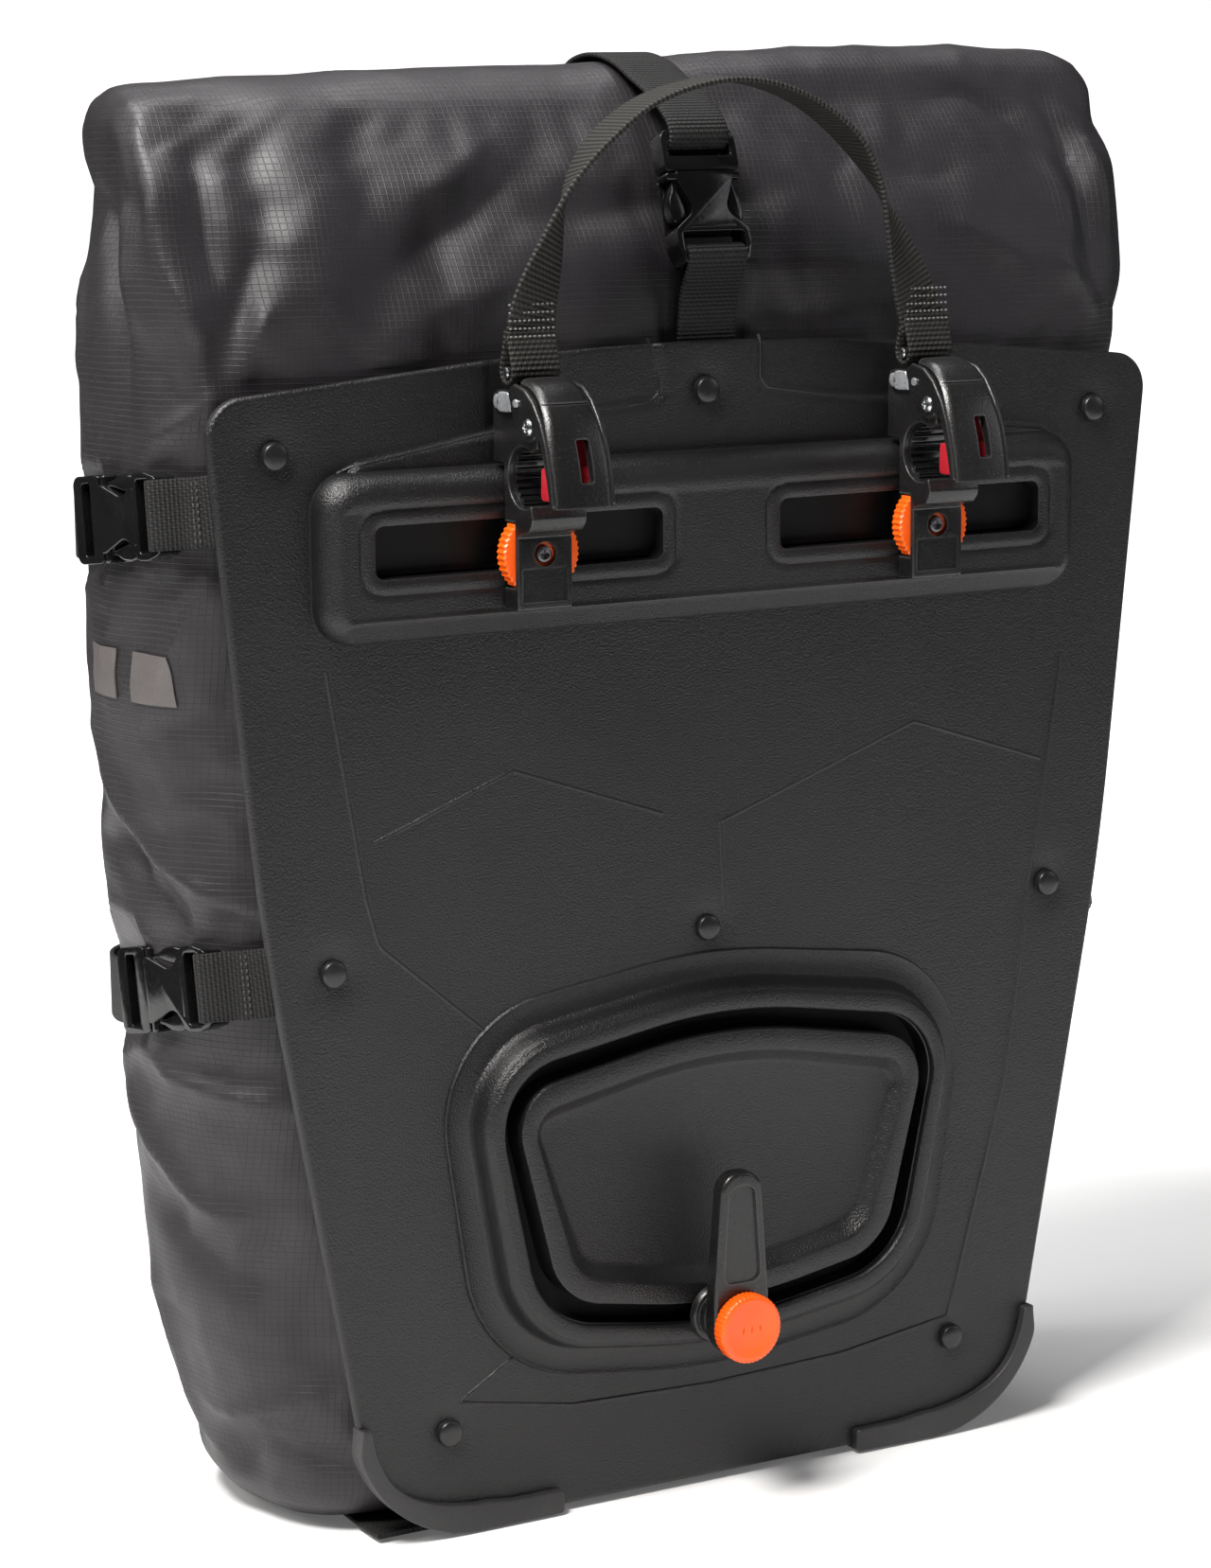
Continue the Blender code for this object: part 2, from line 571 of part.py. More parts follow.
def hook_body(name, x):
    back = -POD_DEPTH - TOUCH
    outline = [(back, 0.1270), (-0.0220, 0.1270), (-0.0220, 0.1520), (-0.0310, 0.1550), (-0.0340, 0.1590)]
    outline += arc((TUBE_Y, TUBE_Z), TUBE_R, 235, 485, 16)
    outline += [(-0.0370, 0.1860), (-0.0370, 0.1950), (-0.0300, 0.2020), (-0.0240, 0.2048), (-0.0080, 0.2048),
                (-0.0045, 0.2030), (-0.0045, 0.1795), (back, 0.1795)]
    body = side_slab("hook_body_" + name, outline, x - HOOK_HALF, x + HOOK_HALF)
    pivot(body, (x, 0.0, SLOT_Z))
    wheel_room = cylinder("wheel_room_" + name, "y", WHEEL_R + 0.0006, (x, WHEEL_FRONT - 0.0003, WHEEL_Z),
                          0.0120, 32)
    channel = box("latch_room_" + name, (x - 0.0080, -0.0500, 0.1892), (x + 0.0080, -0.0163, 0.2200))
    throat = box("handle_room_" + name, (x - 0.0080, -0.0170, 0.1960), (x + 0.0080, -0.0060, 0.2200))
    bolt_hole = cylinder("bolt_room_" + name, "y", 0.0030, (x, -0.0300, WHEEL_Z), 0.0200, 16)
    pin_hole = cylinder("pin_room_" + name, "x", 0.0024, (x - 0.0200, -0.0100, 0.2010), 0.0400, 16)
    for cutter in (wheel_room, channel, throat, bolt_hole, pin_hole):
        boolean(body, place(cutter, cutters))
    return place(body, parts, looks["black_plastic"])


def hook_cover(name, x):
    outer = [(-0.0210, 0.2100), (-0.0300, 0.2080), (-0.0370, 0.2035), (-0.0430, 0.1960), (-0.0473, 0.1865),
             (-0.0500, 0.1775), (-0.0520, 0.1660)]
    inner = [(-0.0486, 0.1660), (-0.0467, 0.1760), (-0.0440, 0.1850), (-0.0400, 0.1938), (-0.0347, 0.2008),
             (-0.0290, 0.2045), (-0.0210, 0.2062)]
    cover = side_slab("hook_cover_" + name, outer + inner, x - HOOK_HALF, x + HOOK_HALF)
    slot = box("cover_slot_" + name, (x - 0.0010, -0.0700, 0.1745), (x + 0.0042, -0.0380, 0.1895))
    boolean(cover, place(slot, cutters))
    return place(cover, parts, looks["black_plastic"])


def latch(name, x):
    """Red jaw latch: closes the mouth under the tube, and lifts with the handle."""
    y_pin, z_pin = HANDLE_PIN
    outline = [(-0.0458, 0.1675), (-0.0375, 0.1675), (-0.0375, 0.1888), (-0.0368, 0.1899), (-0.0270, 0.1930),
               (-0.0182, 0.1935), (-0.0135, 0.2045), (-0.0095, 0.2082)]
    outline += arc((y_pin, z_pin), 0.0034, -30, 190, 8)
    outline += [(-0.0190, 0.1985), (-0.0290, 0.1970), (-0.0340, 0.1935), (-0.0385, 0.1870), (-0.0420, 0.1800)]
    piece = pivot(side_slab("latch_" + name, outline, x - 0.0074, x + 0.0074), (x, y_pin, z_pin))
    hole = cylinder("handle_pin_room_" + name, "x", 0.0022, (x - 0.0200, y_pin, z_pin), 0.0400, 16)
    boolean(piece, place(hole, cutters))
    place(piece, parts, looks["red"])
    pin = cylinder("handle_pin_" + name, "x", 0.0019, (x - 0.0100, y_pin, z_pin), 0.0200, 12)
    place(smooth(pin), parts, looks["steel"])


def hook_hardware(name, x):
    left_face = x - HOOK_HALF - TOUCH
    screw = cylinder("cover_screw_" + name, "x", 0.0030, (left_face - 0.0012, -0.0325, 0.1925), 0.0012, 14)
    place(smooth(screw), parts, looks["steel"])
    pin = cylinder("frame_pin_" + name, "x", 0.0021, (x - 0.0128, -0.0100, 0.2010), 0.0256, 14)
    place(smooth(pin), parts, looks["steel"])
    bolt = cylinder("clamp_bolt_" + name, "y", 0.0026, (x, -0.0232, WHEEL_Z), 0.0114, 14)
    place(smooth(bolt), parts, looks["steel"])
    nut = box("rail_nut_" + name, (x - 0.0090, -0.0115, SLOT_Z - 0.0088), (x + 0.0090, -0.0042, SLOT_Z + 0.0088),
              0.0006, 1)
    place(nut, parts, looks["steel"])
    teeth = 24
    ring = []
    for k in range(2 * teeth):
        radius = WHEEL_R if k % 2 else WHEEL_R - 0.0008
        angle = math.pi * k / teeth
        ring.append((x + radius * math.cos(angle), WHEEL_Z + radius * math.sin(angle)))
    bore = [(x + 0.0030 * math.cos(2 * math.pi * k / 16), WHEEL_Z + 0.0030 * math.sin(2 * math.pi * k / 16))
            for k in range(16)]
    wheel = slab("clamp_wheel_" + name, [ring, bore], WHEEL_FRONT, WHEEL_BACK)
    place(pivot(wheel, (x, WHEEL_FRONT, WHEEL_Z)), parts, looks["orange"])


def rail_hooks():
    for name, x in HOOK_X.items():
        hook_body(name, x)
        hook_cover(name, x)
        latch(name, x)
        hook_hardware(name, x)


def carry_handle():
    """Webbing arch: flat to the plate at its ends, turned edge-on over the hand."""
    y = HANDLE_PIN[0]
    path = smooth_path([(x, y, z) for x, z in HANDLE_ARCH], 3)
    steps = len(path) - 1
    sides = []
    for k in range(steps + 1):
        ahead = path[min(k + 1, steps)] - path[max(k - 1, 0)]
        inward = Vector((0, 1, 0)).cross(ahead.normalized())
        share = min(1.0, min(k, steps - k) / (0.32 * steps))
        turn = math.pi / 2 * (3 * share ** 2 - 2 * share ** 3)
        away = 1 if k <= steps / 2 else -1
        sides.append(inward * away * math.cos(turn) + Vector((0, 1, 0)) * math.sin(turn))
    middle = (HOOK_X["left"] + HOOK_X["right"]) / 2
    handle = ribbon("carry_handle", path, sides, WEB_HANDLE, 0.0020)
    return place(pivot(smooth(handle), (middle, y, HANDLE_PIN[1])), parts, looks["webbing"])


# ---------------------------------------------------------------- lower hook
def lower_hook():
    x, z = ARM_AXIS
    shoe = box("arm_shoe", (x - 0.0060, -TRACK_DEPTH + 0.0005, z - 0.0028), (x + 0.0060, -0.0010, z + 0.0028),
               0.0008, 1)
    track_axis = (0.0, 0.0, TRACK_LOW + TRACK_ARCH)
    place(pivot(shoe, track_axis), parts, looks["black_plastic"])
    flange_y = -TRACK_DEPTH - TOUCH
    profile = [(flange_y, 0.0115), (flange_y - 0.0028, 0.0108), (flange_y - 0.0030, 0.0078),
               (ARM_BACK + TOUCH, 0.0078)]
    loops = [[(x + r * math.cos(a), y, z + r * math.sin(a))
              for a in (2 * math.pi * k / 20 for k in range(20))] for y, r in profile]
    place(pivot(smooth(loft("arm_stem", loops)), track_axis), parts, looks["black_plastic"])
    outline = fillet([(x - 0.0120, z - 0.0120, 0.0115), (x + 0.0120, z - 0.0120, 0.0115),
                      (x + 0.0118, z + 0.0120, 0.010), (x + 0.0083, z + 0.0585, 0.0075),
                      (x - 0.0083, z + 0.0585, 0.0075), (x - 0.0118, z + 0.0120, 0.010)], 4)
    arm = slab("lower_arm", [outline], ARM_FRONT, ARM_BACK)
    round_edges(arm, 0.0012, 1)
    place(pivot(arm, (x, ARM_FRONT, z)), parts, looks["black_plastic"])
    teeth = 24
    knob_r = 0.01325
    ring = []
    for k in range(2 * teeth):
        radius = knob_r if k % 2 else knob_r - 0.0006
        angle = math.pi * k / teeth
        ring.append((x + radius * math.cos(angle), z + radius * math.sin(angle)))
    knob = slab("arm_knob", [ring], ARM_FRONT - 0.0068, ARM_FRONT - TOUCH)
    place(pivot(knob, (x, ARM_FRONT, z)), parts, looks["orange"])


# ---------------------------------------------------------------- build
clear_scene()
parts = collection("pannier_bag")
cutters = collection("cutters")
root = bpy.data.objects.new("plate_origin", None)
root.location = (0.0, PLATE_FRONT_Y, RIVET_ROW_Z)
parts.objects.link(root)
looks = {
    "fabric": material("fabric", (0.045, 0.042, 0.045), 0.55),
    "webbing": material("webbing", (0.012, 0.012, 0.012), 0.80),
    "plate": material("plate", (0.028, 0.027, 0.029), 0.60),
    "guard": material("guard", (0.045, 0.044, 0.046), 0.60),
    "buckle": material("buckle", (0.012, 0.012, 0.013), 0.35),
    "black_plastic": material("black_plastic", (0.018, 0.018, 0.019), 0.45),
    "orange": material("orange", (1.0, 0.170, 0.050), 0.40),
    "red": material("red", (0.480, 0.020, 0.035), 0.40),
    "steel": material("steel", (0.620, 0.630, 0.640), 0.30, 1.0),
    "aluminium": material("aluminium", (0.050, 0.050, 0.052), 0.45, 1.0),
    "reflective": material("reflective", (0.300, 0.290, 0.280), 0.35)}
back_plate()
hook_rail()
lower_track()
track_island()
rivets()
corner_guards()
dry_bag()
reflectors()
bottom_tab()
side_straps()
top_strap()
rail_hooks()
carry_handle()
lower_hook()
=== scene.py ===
import json
import math

import bmesh
import bpy
import numpy as np
from mathutils import Matrix, Vector, noise

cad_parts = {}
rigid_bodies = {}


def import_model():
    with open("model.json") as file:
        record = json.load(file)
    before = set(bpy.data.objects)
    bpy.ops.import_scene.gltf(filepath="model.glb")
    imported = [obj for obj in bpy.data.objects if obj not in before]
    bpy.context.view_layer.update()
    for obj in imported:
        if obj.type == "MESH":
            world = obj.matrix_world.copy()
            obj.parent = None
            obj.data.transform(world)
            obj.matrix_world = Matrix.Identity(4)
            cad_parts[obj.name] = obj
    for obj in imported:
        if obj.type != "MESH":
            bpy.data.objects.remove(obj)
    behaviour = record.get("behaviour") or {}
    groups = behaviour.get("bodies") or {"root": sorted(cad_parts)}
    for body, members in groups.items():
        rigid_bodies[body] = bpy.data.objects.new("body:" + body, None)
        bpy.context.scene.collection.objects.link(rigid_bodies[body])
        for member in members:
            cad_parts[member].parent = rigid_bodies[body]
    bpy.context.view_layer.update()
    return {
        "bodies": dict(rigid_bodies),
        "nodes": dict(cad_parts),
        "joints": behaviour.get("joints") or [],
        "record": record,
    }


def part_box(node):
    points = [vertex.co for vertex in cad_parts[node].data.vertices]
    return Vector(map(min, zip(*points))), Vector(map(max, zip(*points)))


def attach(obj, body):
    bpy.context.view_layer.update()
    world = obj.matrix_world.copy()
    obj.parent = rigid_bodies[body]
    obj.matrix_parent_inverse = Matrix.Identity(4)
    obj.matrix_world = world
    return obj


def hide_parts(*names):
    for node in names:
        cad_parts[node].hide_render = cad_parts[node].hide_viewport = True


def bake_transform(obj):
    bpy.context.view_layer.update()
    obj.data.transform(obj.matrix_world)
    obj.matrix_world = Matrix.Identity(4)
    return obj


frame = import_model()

# The looks of a pannier bag. Shapes are written in the plate's own frame, in metres: x across, y into the
# bag, z up, zero on the plate's front face at the middle rivets. ORIGIN carries that frame into the model.
rivet_low, rivet_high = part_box("rivet_centre")
ORIGIN = Vector((0.0, rivet_high.y + 0.0003, (rivet_low.z + rivet_high.z) / 2 + 0.0015))
FLOOR_Z = -ORIGIN.z
PLATE_BACK = 0.0040
TRACK_DEPTH = 0.0130
WEB_THICK = 0.0018


def mm(value):
    """Metres, from a number or a nested table in millimetres."""
    if isinstance(value, (list, tuple)):
        return type(value)(mm(each) for each in value)
    return round(value / 1000, 7)


def folds(*rows):
    """Rows of (height, width, power, run) in millimetres; power shapes a fold's flanks and has no unit."""
    return [(mm(run), mm(height), mm(width), power) for height, width, power, run in rows]


def local_box(node):
    """A CAD node's box, in the plate's frame."""
    low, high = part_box(node)
    return low - ORIGIN, high - ORIGIN


def local_centre(node):
    low, high = local_box(node)
    return (low + high) / 2


# ------------------------------------------------------------------------------------------ materials
class Nodes:
    """A material's node tree, with short calls for the nodes that the looks share."""

    def __init__(self, name):
        self.material = bpy.data.materials.new(name)
        self.material.use_nodes = True
        self.tree = self.material.node_tree
        self.shader = self.tree.nodes["Principled BSDF"]
        self.coordinates = self.tree.nodes.new("ShaderNodeTexCoord")

    def add(self, kind, inputs=(), **settings):
        node = self.tree.nodes.new(kind)
        for key, value in settings.items():
            setattr(node, key, value)
        for key, value in dict(inputs).items():
            self.plug(value, node.inputs[key])
        return node

    def plug(self, value, socket):
        if isinstance(value, bpy.types.NodeSocket):
            self.tree.links.new(value, socket)
        elif value is not None:
            socket.default_value = value

    def math(self, operation, a, b=0.0, c=0.0):
        node = self.add("ShaderNodeMath", {0: a, 1: b, 2: c}, operation=operation)
        return node.outputs[0]

    def noise(self, vector, scale, detail=3.0, rough=0.5):
        node = self.add("ShaderNodeTexNoise", {"Vector": vector, "Scale": scale, "Detail": detail,
                                               "Roughness": rough})
        return node.outputs["Fac"]

    def ramp(self, value, low, high, out_low=0.0, out_high=1.0):
        node = self.add("ShaderNodeMapRange", {"Value": value, "From Min": low, "From Max": high,
                                               "To Min": out_low, "To Max": out_high})
        return node.outputs["Result"]

    def mix(self, share, a, b):
        node = self.add("ShaderNodeMix", data_type='RGBA')
        self.plug(share, node.inputs[0])
        self.plug((*a, 1.0) if isinstance(a, tuple) else a, node.inputs[6])
        self.plug((*b, 1.0) if isinstance(b, tuple) else b, node.inputs[7])
        return node.outputs[2]

    def bump(self, height, distance, strength, after=None):
        node = self.add("ShaderNodeBump", {"Height": height, "Distance": distance, "Strength": strength})
        if after is not None:
            self.plug(after, node.inputs["Normal"])
        return node.outputs["Normal"]

    def split(self, vector):
        return self.add("ShaderNodeSeparateXYZ", {0: vector}).outputs

    def finish(self, colour, roughness, normal=None, **sockets):
        self.plug((*colour, 1.0) if isinstance(colour, tuple) else colour, self.shader.inputs["Base Color"])
        self.plug(roughness, self.shader.inputs["Roughness"])
        if normal is not None:
            self.plug(normal, self.shader.inputs["Normal"])
        for key, value in sockets.items():
            self.plug(value, self.shader.inputs[key.replace("_", " ")])
        return self.material


def bevel_edge_mask(nodes, soft=0.0012):
    """0 on flat ground, up to 1 on outside edges, for scuffed edges and, in moulded plastic, a painted edge
    highlight: how far a bevelled normal leans from the true one.
    """
    bevel = nodes.add("ShaderNodeBevel", {"Radius": soft}, samples=4)
    geometry = nodes.add("ShaderNodeNewGeometry")
    lean = nodes.add("ShaderNodeVectorMath", {0: bevel.outputs[0], 1: geometry.outputs["Normal"]},
                     operation='DOT_PRODUCT').outputs["Value"]
    return nodes.ramp(lean, 0.995, 0.80)


def moulded(name, dark, light, roughness, grain=900.0, depth=0.00012, edge_amount=0.5, **sockets):
    """Grained injection-moulded plastic, paler and smoother at its edges: partly scuffed, partly a painted
    highlight of the light caught along them.
    """
    nodes = Nodes(name)
    place = nodes.coordinates.outputs["Object"]
    fine = nodes.noise(place, grain, 2.0)
    cloud = nodes.noise(place, 14.0, 4.0)
    scuff = nodes.ramp(nodes.noise(place, 160.0, 6.0, 0.7), 0.60, 0.80)
    speck = nodes.ramp(nodes.noise(place, grain * 0.7, 1.0), 0.62, 0.74)
    # Outside edges: partly scuffing, partly a painted highlight along them.
    paler_edges = nodes.math('MULTIPLY', bevel_edge_mask(nodes), edge_amount)
    shade = nodes.math('ADD', nodes.ramp(cloud, 0.3, 0.7, 0.0, 0.45), nodes.math('MULTIPLY', speck, 0.55))
    colour = nodes.mix(nodes.math('ADD', shade, paler_edges), dark, light)
    # Painted highlight: a much paler edge colour, standing in for the light that the edges catch.
    painted_edge_highlight = tuple(0.05 + 2.0 * c for c in light)
    colour = nodes.mix(nodes.math('MULTIPLY', paler_edges, 0.45), colour, painted_edge_highlight)
    rough = nodes.math('ADD', nodes.ramp(fine, 0.2, 0.8, roughness - 0.06, roughness + 0.08),
                       nodes.math('MULTIPLY', scuff, -0.06))
    return nodes.finish(colour, rough, nodes.bump(fine, depth, 0.8), **sockets)


def ripstop_lines(nodes, across, up, pitch, width):
    """Thin threads of a square grid, from two distances in metres."""
    lines = []
    for run in (across, up):
        wave = nodes.math('ABSOLUTE', nodes.math('SUBTRACT', nodes.math('FRACT', nodes.math(
            'DIVIDE', run, pitch)), 0.5))
        lines.append(nodes.ramp(wave, width, 0.0))
    return nodes.math('MAXIMUM', *lines)


def coated_ripstop(name):
    """Coated ripstop nylon: plain weave under a satin film, with a raised grid of thicker threads."""
    nodes = Nodes(name)
    place = nodes.coordinates.outputs["Object"]
    x, y, z = nodes.split(place)
    nx, ny, nz = nodes.split(nodes.coordinates.outputs["Normal"])
    facing_side = nodes.math('GREATER_THAN', nodes.math('ABSOLUTE', nx), nodes.math('ABSOLUTE', ny))
    flat_top = nodes.math('GREATER_THAN', nodes.math('ABSOLUTE', nz), 0.75)
    run = nodes.add("ShaderNodeMix", {0: facing_side, 2: x, 3: y}).outputs[0]
    up = nodes.add("ShaderNodeMix", {0: flat_top, 2: z, 3: y}).outputs[0]
    drift = nodes.noise(place, 9.0, 2.0)
    run = nodes.math('MULTIPLY_ADD', drift, 0.006, run)
    up = nodes.math('MULTIPLY_ADD', drift, -0.006, up)
    grid = ripstop_lines(nodes, run, up, 0.0023, 0.11)
    warp = nodes.math('SINE', nodes.math('MULTIPLY', run, 2 * math.pi / 0.00048))
    weft = nodes.math('SINE', nodes.math('MULTIPLY', up, 2 * math.pi / 0.00048))
    weave = nodes.math('MULTIPLY', warp, weft)
    cloud = nodes.noise(place, 16.0, 5.0, 0.6)
    dust = nodes.ramp(nodes.noise(place, 420.0, 3.0, 0.7), 0.66, 0.80)
    tint = nodes.mix(nodes.ramp(cloud, 0.3, 0.7), (0.0092, 0.0074, 0.0096), (0.0160, 0.0132, 0.0160))
    tint = nodes.mix(nodes.math('MULTIPLY', grid, 0.60), tint, (0.0060, 0.0055, 0.0065))
    tint = nodes.mix(nodes.math('MULTIPLY', dust, 0.10), tint, (0.20, 0.19, 0.19))
    rough = nodes.ramp(nodes.noise(place, 60.0, 4.0), 0.3, 0.7, 0.44, 0.53)
    rough = nodes.math('MULTIPLY_ADD', grid, 0.10, rough)
    normal = nodes.bump(weave, 0.00003, 0.5)
    normal = nodes.bump(grid, 0.00008, 0.8, normal)
    normal = nodes.bump(nodes.noise(place, 95.0, 4.0, 0.6), 0.0005, 0.30, normal)
    return nodes.finish(tint, rough, normal, Specular_IOR_Level=0.55)


def webbing(name, dark=(0.0016, 0.0016, 0.0018), light=(0.0160, 0.0153, 0.0150), rib=0.0016):
    """Woven webbing read from its UVs in metres: ribs across the run, with the yarns' diagonal crossings."""
    nodes = Nodes(name)
    u, v, _ = nodes.split(nodes.coordinates.outputs["UV"])
    ribs = nodes.math('SINE', nodes.math('MULTIPLY', v, 2 * math.pi / rib))
    yarns = nodes.math('SINE', nodes.math('MULTIPLY', u, 2 * math.pi / 0.0011))
    stagger = nodes.math('SINE', nodes.math('MULTIPLY_ADD', v, math.pi / rib, nodes.math(
        'MULTIPLY', u, math.pi / 0.0011)))
    weave = nodes.math('MULTIPLY_ADD', yarns, 0.30, nodes.math('MULTIPLY_ADD', stagger, 0.35, ribs))
    fuzz = nodes.noise(nodes.coordinates.outputs["Object"], 1400.0, 3.0, 0.7)
    share = nodes.math('MULTIPLY_ADD', fuzz, 0.5, nodes.ramp(weave, -1.2, 1.4, -0.2, 0.7))
    colour = nodes.mix(share, dark, light)
    normal = nodes.bump(weave, 0.00022, 0.9)
    normal = nodes.bump(fuzz, 0.00008, 0.5, normal)
    return nodes.finish(colour, nodes.ramp(weave, -1.0, 1.0, 0.85, 0.55), normal, Specular_IOR_Level=0.35)


def glossy(name, colour, paler_edges, roughness, edge_amount=0.35, subsurface=0.0):
    """Smooth moulded plastic with faint moulding ripples and scuffed edges."""
    nodes = Nodes(name)
    place = nodes.coordinates.outputs["Object"]
    ripple = nodes.noise(place, 220.0, 3.0)
    tint = nodes.mix(nodes.math('MULTIPLY', bevel_edge_mask(nodes, 0.0008), edge_amount), colour, paler_edges)
    tint = nodes.mix(nodes.ramp(nodes.noise(place, 40.0, 3.0), 0.35, 0.75, 0.0, 0.18), tint, paler_edges)
    rough = nodes.ramp(nodes.noise(place, 600.0, 3.0), 0.3, 0.7, roughness - 0.06, roughness + 0.08)
    return nodes.finish(tint, rough, nodes.bump(ripple, 0.00010, 0.35), Subsurface_Weight=subsurface,
                        Subsurface_Scale=0.003)


def metal(name, colour, roughness, metallic=1.0):
    nodes = Nodes(name)
    place = nodes.coordinates.outputs["Object"]
    brush = nodes.noise(place, 900.0, 4.0)
    tarnish = nodes.ramp(nodes.noise(place, 120.0, 5.0), 0.4, 0.7)
    tint = nodes.mix(tarnish, colour, tuple(0.72 * c for c in colour))
    rough = nodes.ramp(brush, 0.3, 0.7, roughness - 0.08, roughness + 0.12)
    return nodes.finish(tint, rough, nodes.bump(brush, 0.00004, 0.4), Metallic=metallic)


def reflective_film(name):
    """Retro-reflective film: grey, with the faint honeycomb of its cells."""
    nodes = Nodes(name)
    place = nodes.coordinates.outputs["Object"]
    cells = nodes.add("ShaderNodeTexVoronoi", {"Vector": place, "Scale": 520.0}, feature='DISTANCE_TO_EDGE')
    seams = nodes.ramp(cells.outputs["Distance"], 0.0, 0.08, 1.0, 0.0)
    tint = nodes.mix(nodes.math('MULTIPLY', seams, 0.35), (0.105, 0.094, 0.092), (0.060, 0.054, 0.054))
    cloud = nodes.ramp(nodes.noise(place, 70.0, 4.0), 0.4, 0.7, 0.0, 0.3)
    tint = nodes.mix(cloud, tint, (0.075, 0.068, 0.066))
    return nodes.finish(tint, 0.42, nodes.bump(seams, 0.00005, 0.4))


def pale_floor(name, glow_near, glow_far):
    """White studio paper, with a little more light of its own away from the object."""
    nodes = Nodes(name)
    place = nodes.coordinates.outputs["Object"]
    away = nodes.add("ShaderNodeVectorMath", {0: place}, operation='LENGTH').outputs["Value"]
    tint = nodes.mix(nodes.noise(place, 3.0, 4.0), (0.82, 0.82, 0.82), (0.86, 0.86, 0.86))
    glow = nodes.ramp(away, 0.45, 1.10, glow_near, glow_far)
    return nodes.finish(tint, 0.80, Emission_Color=(1.0, 1.0, 1.0, 1.0), Emission_Strength=glow)


LOOK = {
    "fabric": coated_ripstop("fabric_ripstop"),
    "webbing": webbing("webbing_black"),
    "handle": webbing("webbing_handle", (0.0016, 0.0016, 0.0017), (0.0380, 0.0355, 0.0310), 0.0019),
    "plate": moulded("plate_grained", (0.0026, 0.0024, 0.0027), (0.0120, 0.0112, 0.0120), 0.40, 1400.0,
                     0.00042, Specular_IOR_Level=0.50),
    "guard": moulded("guard_grained", (0.016, 0.0155, 0.016), (0.040, 0.039, 0.040), 0.48, 1500.0, 0.00020),
    "rivet": moulded("rivet_plastic", (0.0070, 0.0066, 0.0070), (0.022, 0.021, 0.022), 0.34, 700.0, 0.00006),
    "hook": moulded("hook_plastic", (0.0030, 0.0029, 0.0030), (0.026, 0.025, 0.025), 0.30, 1300.0,
                    0.00014, 0.9),
    "buckle": glossy("buckle_plastic", (0.0030, 0.0030, 0.0033), (0.030, 0.029, 0.029), 0.17),
    "orange": glossy("orange_plastic", (1.0, 0.105, 0.002), (1.0, 0.26, 0.03), 0.34, 0.5, 0.10),
    "red": glossy("red_plastic", (0.42, 0.012, 0.022), (0.62, 0.05, 0.07), 0.34, 0.5, 0.10),
    "steel": metal("zinc_steel", (0.62, 0.64, 0.66), 0.26),
    "chrome": metal("chrome_pin", (0.80, 0.83, 0.87), 0.30, 0.75),
    "dark_steel": metal("bolt_steel", (0.13, 0.13, 0.14), 0.34, 0.8),
    "rail": metal("rail_anodised", (0.010, 0.010, 0.0105), 0.45, 0.6),
    "thread": glossy("stitch_thread", (0.10, 0.098, 0.095), (0.32, 0.31, 0.30), 0.45, 0.6),
    "dark_thread": glossy("dark_thread", (0.020, 0.020, 0.020), (0.09, 0.09, 0.09), 0.5, 0.6),
    # Near-black and rough: painted shade for the lower track's slot.
    "hollow": moulded("hollow_shadow", (0.002, 0.002, 0.002), (0.004, 0.004, 0.004), 0.9, edge_amount=0.0),
    "reflective": reflective_film("reflective_film"),
}


# ------------------------------------------------------------------------------------------ mesh helpers
def register(obj, look, body, slot, *nodes):
    """Finish a piece: its look, the body it rides on, and the CAD nodes that it stands for; its slot is not
    used.
    """
    obj.data.materials.clear()
    obj.data.materials.append(LOOK[look])
    if body:
        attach(obj, body)
    if nodes:
        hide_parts(*nodes)
    return obj


def to_object(name, work, smooth_angle=32.0, shift=True):
    """An object from a bmesh in the plate's frame (shift) or in the model's."""
    bmesh.ops.recalc_face_normals(work, faces=work.faces)
    mesh = bpy.data.meshes.new(name)
    work.to_mesh(mesh)
    work.free()
    if shift:
        mesh.transform(Matrix.Translation(ORIGIN))
    mesh.shade_smooth()
    if smooth_angle:
        mesh.set_sharp_from_angle(angle=math.radians(smooth_angle))
    obj = bpy.data.objects.new(name, mesh)
    bpy.context.scene.collection.objects.link(obj)
    return obj


def apply_modifiers(obj):
    """Bake the modifiers into the mesh."""
    graph = bpy.context.evaluated_depsgraph_get()
    bpy.context.view_layer.update()
    mesh = bpy.data.meshes.new_from_object(obj.evaluated_get(graph))
    old = obj.data
    obj.modifiers.clear()
    obj.data = mesh
    bpy.data.meshes.remove(old)
    return obj


def round_edges(obj, width, segments):
    bevel = obj.modifiers.new("rounded", 'BEVEL')
    bevel.width = width
    bevel.segments = segments
    bevel.limit_method = 'ANGLE'
    bevel.angle_limit = math.radians(30)
    bevel.harden_normals = False
    return apply_modifiers(obj)


def cut(obj, *cutters):
    """Cut solids out of an object, and delete them."""
    for cutter in cutters:
        step = obj.modifiers.new("cut", 'BOOLEAN')
        step.operation = 'DIFFERENCE'
        step.object = cutter
        step.solver = 'EXACT'
    apply_modifiers(obj)
    for cutter in cutters:
        bpy.data.objects.remove(cutter, do_unlink=True)
    return obj


def crisp(obj, degrees):
    """Shade edges sharper than this as edges, and the rest smooth."""
    obj.data.set_sharp_from_angle(angle=math.radians(degrees))


def join(name, objects):
    """One object from several, their meshes left separate inside it."""
    work = bmesh.new()
    for obj in objects:
        work.from_mesh(obj.data)
        bpy.data.objects.remove(obj, do_unlink=True)
    return to_object(name, work, shift=False)


